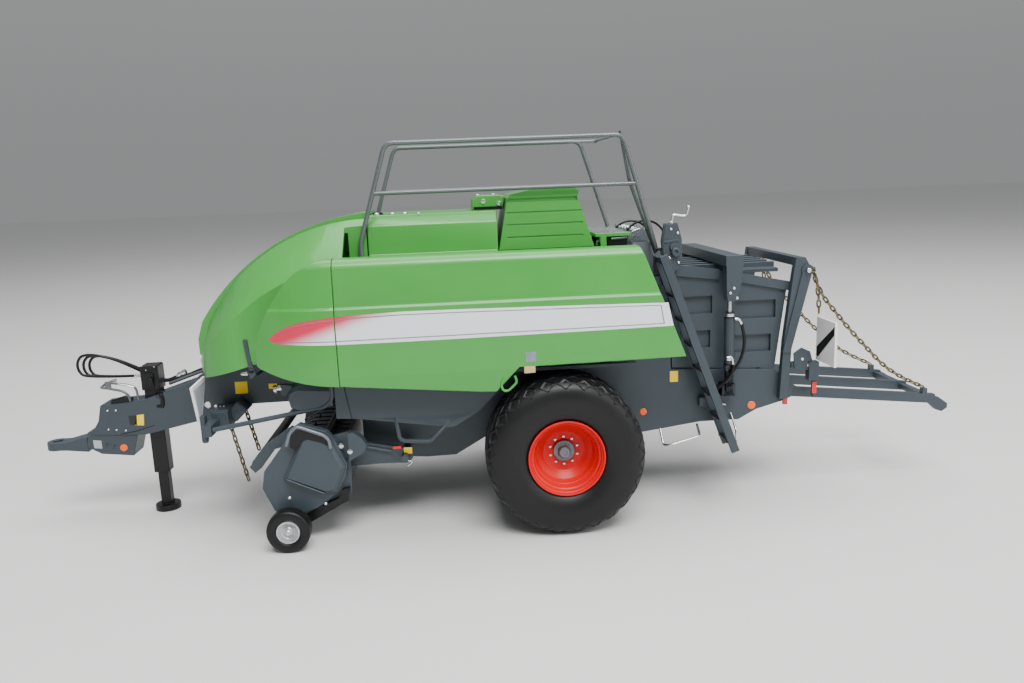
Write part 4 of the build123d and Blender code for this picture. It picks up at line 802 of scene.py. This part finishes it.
def link(form, centre, along, flat):
    """One oval link. flat points across its opening."""
    across = along.cross(flat).normalized()
    straight = LINK_STEP / 2 - LINK_BEND + LINK_WIRE * 0.8
    line = []
    for end in (1, -1):
        for k in range(5):
            turn = pi * (k / 4 - 0.5)
            out, wide = straight + LINK_BEND * cos(turn), LINK_BEND * sin(turn)
            line.append(centre + along * out * end + across * wide * end)
    points, loops = [], []
    for index, point in enumerate(line):
        ahead = (line[(index + 1) % len(line)] - line[index - 1]).normalized()
        points += ring(point, flat, ahead.cross(flat).normalized(), LINK_WIRE, LINK_SIDES)
        here, after = index * LINK_SIDES, (index + 1) % len(line) * LINK_SIDES
        for k in range(LINK_SIDES):
            beside = (k + 1) % LINK_SIDES
            loops.append((here + k, here + beside, after + beside, after + k))
    form.faces(points, loops)


def chain(form, points, bend=6):
    """Links along a hanging line, each turned square to the last."""
    line = eased(points, bend)
    runs = list(zip(line, line[1:]))
    total = sum((b - a).length for a, b in runs)
    count = round(total / LINK_STEP)
    for index in range(count):
        travel = total * (index + 0.5) / count
        for a, b in runs:
            if travel <= (b - a).length:
                break
            travel -= (b - a).length
        along = (b - a).normalized()
        level = Vector(ACROSS)
        level = (level - along * level.dot(along)).normalized()
        turn = radians(35 if index % 2 else 125)
        link(form, a + along * travel, along, level * cos(turn) + along.cross(level) * sin(turn))


CHUTE_LUG = (104.4, 22.6, 76.2)
CHUTE_END = (146.4, 18.4, 33.4)
CHUTE_SAG = (  # x, share of the lug's y, z
    (107.4, 1, 68.6), (117.2, 0.97, 56.8), (130.9, 0.91, 42.6), (138.4, 0.87, 37.8),
)
chute_links, tails, hooks = Form(), Form(), Form()
for name, side in SIDES:
    y, tail_y = side * CHUTE_LUG[1], side * 24.2
    sag = [(x, y * share, z) for x, share, z in CHUTE_SAG]
    end = (CHUTE_END[0], side * CHUTE_END[1], CHUTE_END[2] + 0.6)
    chain(chute_links, [(CHUTE_LUG[0], y, CHUTE_LUG[2]), *sag, end])
    chain(tails, [(105.2, tail_y, 72.6), (106, tail_y, 68), (106.2, tail_y, 62.6)], 2)
    hook = [(102.4, y + side * 1.6, 77.4), (104.2, y + side * 1.4, 77.6), (105.2, y, 76.4), (104.4, y, 75.4)]
    hooks.pipe(hook, 0.38, 0.8, 8)
    hooks.rod((104.8, tail_y, 75.2), (105, tail_y, 72.8), 0.32, 8)
    hooks.rod((104.4, y, 76), (104.8, tail_y, 75.2), 0.32, 8)
chute_links = chute_links.done("chute_chain_links", "bright_metal", None, CHAIN_STEEL)
low = Vector(CHUTE_END) * mm
high = Vector(CHUTE_LUG) * mm
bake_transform(chute_links)
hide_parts("chute_chains")
tails.done("chute_chain_tails", "bright_metal", material=CHAIN_STEEL)
hooks.done("chute_chain_hooks", "bright_metal", material=CHAIN_STEEL)

lift_links = Form()
for top, end in (((-86.4, -20, 34.7), (-82.4, -20, 15.4)), ((-84, -11, 39.2), (-80.4, -11, 23))):
    chain(lift_links, [top, end])
lift_links.done("lift_chain_links", "bright_metal", material=CHAIN_STEEL, replaces="lift_chains")


# ---- rear marker boards ----
MARKER_X = 106.4
MARKER_THICK = 0.8
boards, strokes, brackets, lights, rings = Form(), Form(), Form(), Form(), Form()
boards.pair(rectangle(MARKER_X, MARKER_X + MARKER_THICK, 46.8, 61.2), 22.4, 36)
for name, side in SIDES:
    inner, outer = side * 22.9, side * 35.5
    corners = [(inner, 48.6), (inner + side * 1.2, 48), (outer, 57.2), (outer, 59.8), (inner, 51.2)]
    for x in (MARKER_X - 0.06, MARKER_X + MARKER_THICK):
        strokes.prism(corners, x, x + 0.06, "x")
brackets.pair(rectangle(MARKER_X - 3.4, MARKER_X, 40.2, 46.6), 22.4, 25.4)
brackets.pair(rectangle(MARKER_X - 1.4, MARKER_X - 0.4, 34.4, 40.2), 22.4, 24)
brackets.pair(rectangle(97.6, MARKER_X - 3.4, 44.6, 46.6), 22.4, 24)
outline = [(98.4, 44.4), (103.2, 43.6), (104.6, 46.2), (103.6, 50), (100.6, 51.4), (98, 49.6)]
brackets.pair(outline, 24, 24.6)
boards.done("rear_marker_boards", "marker_white", bevel=0.12)
strokes.done("rear_marker_strokes", "trim_black")
brackets.done("rear_marker_brackets", "frame_grey", replaces="rear_markers", bevel=0.15)
lights.pair(rectangle(104.6, 106.2, 35.6, 39.7), 24, 24.35)
lights.pair(rectangle(95.6, 97.2, 31.8, 35.4), 21.6, 22.6)
lights.done("rear_lamps", "marker_white", material=LAMP_RED, bevel=0.15)
rings.heads([(0.3, 0), (0.3, 0.45), (0, 0.55)], ((100.9, 47.6), (103, 45.4)), 24.6, 12)
rings.heads(bolt(-0.2, 0.5, 0.7, 0.7, 0.4), [(102, 76.8)], 25.2, 16)
rows = [(-0.2, 0.5), (0.3, 0.5), (0.4, 0)]
rings.heads(rows, [(95.4, 50.8)], 23.4, 12).heads(rows, [(96, 56)], 23.6, 12)
rings.done("rear_post_bolts", "bright_metal")


# ---- pressing cylinders and their hoses ----
CYLINDER_X = 76.2
CYLINDER_Y = 25.2
BARREL = ((0, 0), (0, 1.5), (0.3, 1.7), (15.3, 1.7), (15.5, 1.45), (17.1, 1.45), (17.2, 0))


def disc(half, radius):
    """Profile of a plain disc about its middle."""
    return [(-half, 0), (-half, radius), (half, radius), (half, 0)]


for name, side in SIDES:
    x, y = CYLINDER_X, side * CYLINDER_Y
    out = side * (CYLINDER_Y + 1.6)
    barrel = Form().lathe(BARREL, (x, y, 47.4), UP, 28)
    barrel.box((x - 1.1, y - 1.2, 38.4), (x + 1.1, y + 1.2, 46.4))
    barrel.lathe(disc(1.2, 1.6), (x, y, 46.2), ACROSS, 24)
    barrel.prism(rectangle(x - 2.2, x + 2.2, 36.6, 40.6), *span(side, CHAMBER_Y, CYLINDER_Y))
    replaced = "density_cylinders" if side < 0 else None
    barrel.done(f"pressing_cylinder_{name}", "frame_grey", replaces=replaced, bevel=0.12)
    bright = Form().rod((x, y, 64.6), (x, y, 69.4), 0.75, 20)
    bright.lathe(disc(0.85, 1.3), (x, y, 70), ACROSS, 24)
    bright.lathe([(0, 1.45), (0, 1.78), (0.9, 1.78), (0.9, 1.45)], (x, y, 63.2), UP, 28)
    bright.lathe([(0, 1.7), (0, 1.84), (0.7, 1.84), (0.7, 1.7)], (x, y, 48.8), UP, 28)
    bright.pipe([(x + 1.2, out, 62.4), (x + 2.6, out, 62.4), (x + 3.6, out, 60.4)], 0.5, 0.9)
    bright.pipe([(x - 1.2, out, 49.8), (x + 0.4, out, 50), (x + 0.9, out, 47.2)], 0.5, 0.9)
    for bolt_x, bolt_z in ((75.8, 70.9), (78, 69.2), (77, 72.4)):
        rows = bolt(0, 0.35, 0.45, 0.42, 0.25)
        bright.lathe(rows, (bolt_x, side * 26.9, bolt_z), (0, side, 0), 10)
    bright.rod((73.8, side * 21.4, 33.2), (76.4, side * 21.4, 32.6), 0.35, 10)
    bright.rod((75.6, side * 21.6, 36), (76, side * 21.6, 38.6), 0.35, 10)
    bright.done(f"pressing_cylinder_{name}_fittings", "bright_metal")
    upper = [(x + 3.5, out, 60.8), (x + 4.8, out, 55), (x + 3.7, out, 49.4), (x + 0.8, out, 44.8)]
    upper += [(x - 3.4, out - side * 1.2, 39.4), (x - 4.2, side * 21.4, 37.2)]
    lower = [(x + 0.9, out, 47.6), (x + 0.5, out + side * 0.4, 44.4), (x - 1.8, out + side * 0.3, 41.6)]
    lower += [(x - 4.4, out - side * 1.6, 39.8), (x - 5.4, side * 21.4, 38.4)]
    lines = Form().pipe(upper, 0.52, 3).pipe(lower, 0.5, 2.4)
    lines.done(f"pressing_cylinder_{name}_hoses", "hose_black")

rods = Form()
line = [(54.4, -21, 25.4), (54.6, -24.8, 20.9), (56.6, -26.2, 21.2)]
rods.pipe([*line, (66.5, -26, 23.7), (66.9, -21, 26.2)], 0.42, 1, 10)
rods.pipe([(78.8, -26, 21.2), (78.6, -26, 25.2), (78.4, -21, 29.4)], 0.4, 0.8, 10)
rods.done("ladder_rods", "bright_metal")


# ---- tower, crank, knotters and platform ----
TOWER_Y, TOWER_COVER_Y, CRANK_Y = -23, -23.25, -22.3
cover = Form()
for x, z, size in ((59, 84.4, 1.5), (57.3, 79.8, 0.9)):
    rows = [(-0.2, size), (0.7, size), (0.9, size * 0.8), (0.9, size * 0.45), (0.5, size * 0.4), (0.5, 0)]
    cover.lathe(rows, (x, -23.7, z), OUT_LEFT, 24)
outline = [(55.4, 79.4), (57.2, 77.8), (59.8, 78.8), (61, 82.4), (60.8, 88.4)]
cover.prism([*outline, (59.4, 93.2), (56, 93.2), (55, 88)], TOWER_COVER_Y, TOWER_Y)
cover.prism([(55.6, 87.2), (60.2, 87.8), (60, 88.6), (55.4, 88)], -23.5, TOWER_Y)
cover.done("tower_cover", "frame_grey", bevel=0.12)
pins = Form()
for x, z in ((57.9, 86.6), (57.2, 82.6), (57.6, 91.7), (60, 81), (59.8, 90.4)):
    pins.lathe(bolt(0, 0.3, 0.42, 0.4, 0.25), (x, TOWER_COVER_Y, z), OUT_LEFT, 12)
pins.lathe(bolt(0, 0.6, 0.8, 0.85, 0.6), (58, -22.2, 93.4), UP, 16)
pins.done("tower_pins", "bright_metal")
line = [(58, CRANK_Y, 93.6), (58.4, CRANK_Y, 96.2), (62.6, CRANK_Y, 95.5), (63.5, CRANK_Y, 98.2)]
handle = Form().pipe(line, 0.42, 0.9, 14)
rows = [(0, 0), (0.05, 0.35), (0.3, 0.55), (0.8, 0.6), (1.1, 0.4), (1.2, 0)]
handle.lathe(rows, (63.25, CRANK_Y, 97.75), (0.3, 0, 0.95), 14)
handle.done("crank_handle", "bright_metal", replaces="crank")
rows = [(0, 0), (0.1, 1.2), (0.6, 1.55), (1.2, 1.3), (1.4, 0)]
knob = Form().lathe(rows, (54, -22.2, 83.6), (0, -1, 0.1), 20)
knob.prism([(53.2, 82.6), (54.9, 82.2), (54.7, 86), (53, 85.8)], -22.6, -21.6)
knob.done("tower_knob", "trim_black", bevel=0.2)

KNOTTER_X, KNOTTER_Z = 49.6, 84.4
TEETH, TOOTH_CIRCLE = 14, 4.1
KNOTTER_YS = [-12.5 + 5.0 * index for index in range(6)]
rings, fingers, teeth = Form(), Form(), Form()
turns = [radians(a) for a in range(10, 175, 11)]
arc = [(52.6 + 7.0 * cos(turn), 87.2 + 6.8 * sin(turn)) for turn in turns]
rings.sweep([(x, -8, z) for x, z in arc], 0.38, 10)
rings.sweep([(x - 1.2, 9, z - 0.8) for x, z in arc], 0.38, 10)
for y in KNOTTER_YS:
    finger = ((46.6, 80), (46.2, 86.6), (47.8, 90.8), (50.6, 91.4))
    fingers.pipe([(x, y + 2.4, z) for x, z in finger], 0.35, 1.6, 8)
    fingers.lathe([(0, 0), (0, 1.6), (0.5, 1.6), (0.5, 0)], (50.8, y + 2.1, 86.6), ACROSS, 16)
    for k in range(TEETH):
        turn = 2 * pi * k / TEETH
        x, z = KNOTTER_X + TOOTH_CIRCLE * cos(turn), KNOTTER_Z + TOOTH_CIRCLE * sin(turn)
        teeth.rod((x, y - 0.42, z), (x, y + 0.42, z), 0.42, 6)
rings.done("knotter_ring", "trim_black")
fingers.done("knotter_fingers", "bright_metal")
teeth.done("knotter_teeth", "hub_grey")

DECK_Z = 91.0
CHEQUER_STEP, CHEQUER_LONG, CHEQUER_SHORT = 1.25, 0.42, 0.14
deck = Form()
for row in range(26):
    for column in range(8):
        x, y = 36.2 + CHEQUER_STEP * column, -16.3 + CHEQUER_STEP * row
        a, b = CHEQUER_SHORT, CHEQUER_LONG
        if (row + column) % 2:
            a, b = b, a
        deck.box((x - a, y - b, DECK_Z - 0.05), (x + a, y + b, DECK_Z + 0.08))
deck.done("platform_chequers", "bright_metal")
Form().box((35.2, -16.9, DECK_Z - 0.1), (45.4, 16.9, DECK_Z)).done("platform_plate", "bright_metal")
under = Form().pair([(35.9, 87.7), (37.6, 87.2), (38.2, 89.7), (35.7, 89.7)], 16.2, 17.3)
for y in (-16.8, 16.8):
    under.rod((39.6, y, 89), (44.8, y, 89.4), 0.5, 10)
under.done("platform_brackets", "hub_grey", bevel=0.15)


# ---- hood, cowl, roof and door fittings ----
ROOF_Z = 99.4
caps, knobs = Form(), Form()
for x in (-2.6, 2.6):
    caps.lathe([(-0.2, 1), (0.3, 1), (0.55, 0.7), (0.6, 0)], (x, -4.4, 104.3), UP, 18)
for x, z in ((-1, 102.4), (4.2, 101.6)):
    caps.lathe(bolt(-0.2, 0.4, 0.5, 0.8, 0.5), (x, -8, z), OUT_LEFT, 16)
caps.done("cowl_caps", "bright_metal")
# A thin black sheet in the gap between the roof and the cowl: painted shade.
Form().box((-4.2, -8.05, 99.8), (5.2, -7.95, 100.7)).done("cowl_gap_shade", "trim_black")
for x, z in ((-35.4, ROOF_Z + 0.1), (-30.4, ROOF_Z), (-26.4, ROOF_Z)):
    knobs.lathe([(-0.2, 0.9), (0.5, 0.95), (0.8, 0.6), (0.9, 0)], (x, -13.4, z), UP, 16)
knobs.lathe(bolt(-0.2, 0.3, 0.5, 0.5, 0.3), (-22, -15, ROOF_Z), UP, 12)
knobs.done("roof_knobs", "bright_metal")
lock = Form().prism([(-36.8, ROOF_Z), (-33.4, ROOF_Z), (-34, 100.3), (-36.6, 100.5)], -11.8, -9.4)
lock.done("roof_catch", "trim_black", bevel=0.2)
# Thin black sheets in the slots under the knotter hood's cap: painted shade in the recess.
slot_shade = Form().pair([(6.3, 101.95), (28.8, 101.95), (28.6, 103.15), (6.7, 103.15)], 16.4, 16.6)
slot_shade.done("knotter_hood_slot_shade", "trim_black")
arch = [
    (38.6, 89.7), (45.2, 89.7), (44.6, 84.2), (42.9, 84.2), (42.4, 86.9), (40.4, 86.9), (39.9, 84.2),
    (38.4, 84.2),
]
works = Form().pair(arch, 15.9, 16.6)
for name, side in SIDES:
    works.rod((41.4, side * 15.9, 85.2), (41.4, side * 4, 85.2), 0.9, 14)
works.done("platform_works", "trim_black", bevel=0.15)

for name, side in SIDES:
    latch = Form().prism(rectangle(8, 11.4, 51.9, 54.2), *span(side, 41.4, 42.75))
    latch.done(f"door_catch_{name}", "bright_metal", f"door_{name}", GOLD, bevel=0.15)
    grip = ((1.9, 50.8), (0.9, 48.6), (1.5, 46.8), (3, 46.6), (5.8, 49.2), (5.2, 51.2))
    grip = Form().pipe([(x, side * 42.2, z) for x, z in grip], 0.4, 0.9, 10)
    grip.done(f"door_handle_{name}", "cover_green", f"door_{name}")


# ---- pickup ----
SHIELD_Y = 39.0
ARM_Y = 28.3
BAR = (
    (-64.9, 32.4), (-63.6, 36.4), (-61.6, 38.2), (-60.4, 38), (-53.6, 35.2), (-52, 33.6), (-51.7, 30.9),
)
# Outline of thin black sheets in the shields' hollows under the bars: painted shade.
HOLLOW_SHADE = (
    (-64, 31.9), (-62.8, 35.6), (-61.2, 37.2), (-59, 36.6), (-53.4, 34.2), (-52.6, 31.6), (-54.2, 32.6),
    (-58.6, 34), (-60.4, 33.4), (-62.4, 30.6),
)
OVAL = (
    (-64.3, 45.6), (-63.6, 47.4), (-61.8, 48.4), (-50.9, 47.5), (-50.8, 42.6), (-54, 42.2), (-56.8, 42),
    (-61.4, 41.8), (-63.7, 42.8),
)
HOOK = ((-29.2, 23.4), (-29.6, 22.2), (-27.9, 21.4), (-29.6, 20.2))
bars, ridges, pins, struts, hooks = Form(), Form(), Form(), Form(), Form()
for name, side in SIDES:
    bars.pipe([(x, side * (SHIELD_Y + 0.3), z) for x, z in BAR], 0.55, 1)
    y = side * (SHIELD_Y - 0.05)
    ridges.rod((-65.9, y, 21.6), (-54.9, y, 16.4), 0.3, 10)
    y = side * (ARM_Y + 0.4)
    struts.rod((-42, y, 27.2), (-34.4, y, 25.4), 0.6, 12)
    hooks.pipe([(x, side * (ARM_Y + 0.3), z) for x, z in HOOK], 0.3, 0.5, 10)
pins.heads(bolt(-0.2, 0.3, 0.45, 0.45, 0.3), ((-65.4, 15.8), (-54.6, 13.2)), SHIELD_Y, 14)
pins.heads(bolt(-0.2, 0.25, 0.4, 0.8, 0.5), ((-46.4, 28.6), (-49, 30.6)), 36.4, 18)
bars.done("pickup_bars", "frame_grey", "pickup", FINISH["hub_grey"])
# Painted shade: black sheets in the shield hollows.
Form().pair(HOLLOW_SHADE, SHIELD_Y - 0.1, SHIELD_Y + 0.05).done("pickup_shield_hollow_shade", "trim_black", "pickup")
ridges.done("pickup_shield_ridges", "frame_grey", "pickup")
pins.done("pickup_pins", "bright_metal", "pickup")
struts.done("pickup_struts", "frame_grey", "pickup")
hooks.done("pickup_hooks", "bright_metal", "pickup")
Form().pair(OVAL, 33.25, 33.85).done("front_side_plates", "frame_grey", bevel=0.25)
for name, side in SIDES:
    label(f"pickup_label_{name}", "pickup", rectangle(-30.5, -27.9, 24.2, 26.3), side, ARM_Y, YELLOW, 0.2)
    label(f"pickup_mark_{name}", "pickup", rectangle(-33.9, -31.2, 26, 26.9), side, ARM_Y, LAMP_RED, 0.2)

# ---- floor ----
FLOOR_REACH = 4.0
floor_mesh = bpy.data.meshes.new("floor")
corners = [(x * FLOOR_REACH, y * FLOOR_REACH, 0) for x, y in ((-1, -1), (1, -1), (1, 1), (-1, 1))]
floor_mesh.from_pydata(corners, [], [(0, 1, 2, 3)])
floor = add("floor", floor_mesh)
concrete = finish("floor", (0.62, 0.62, 0.61), (0.66, 0.66, 0.65), 0.7, cloud=4, bump=0.02)
floor_mesh.materials.append(concrete)

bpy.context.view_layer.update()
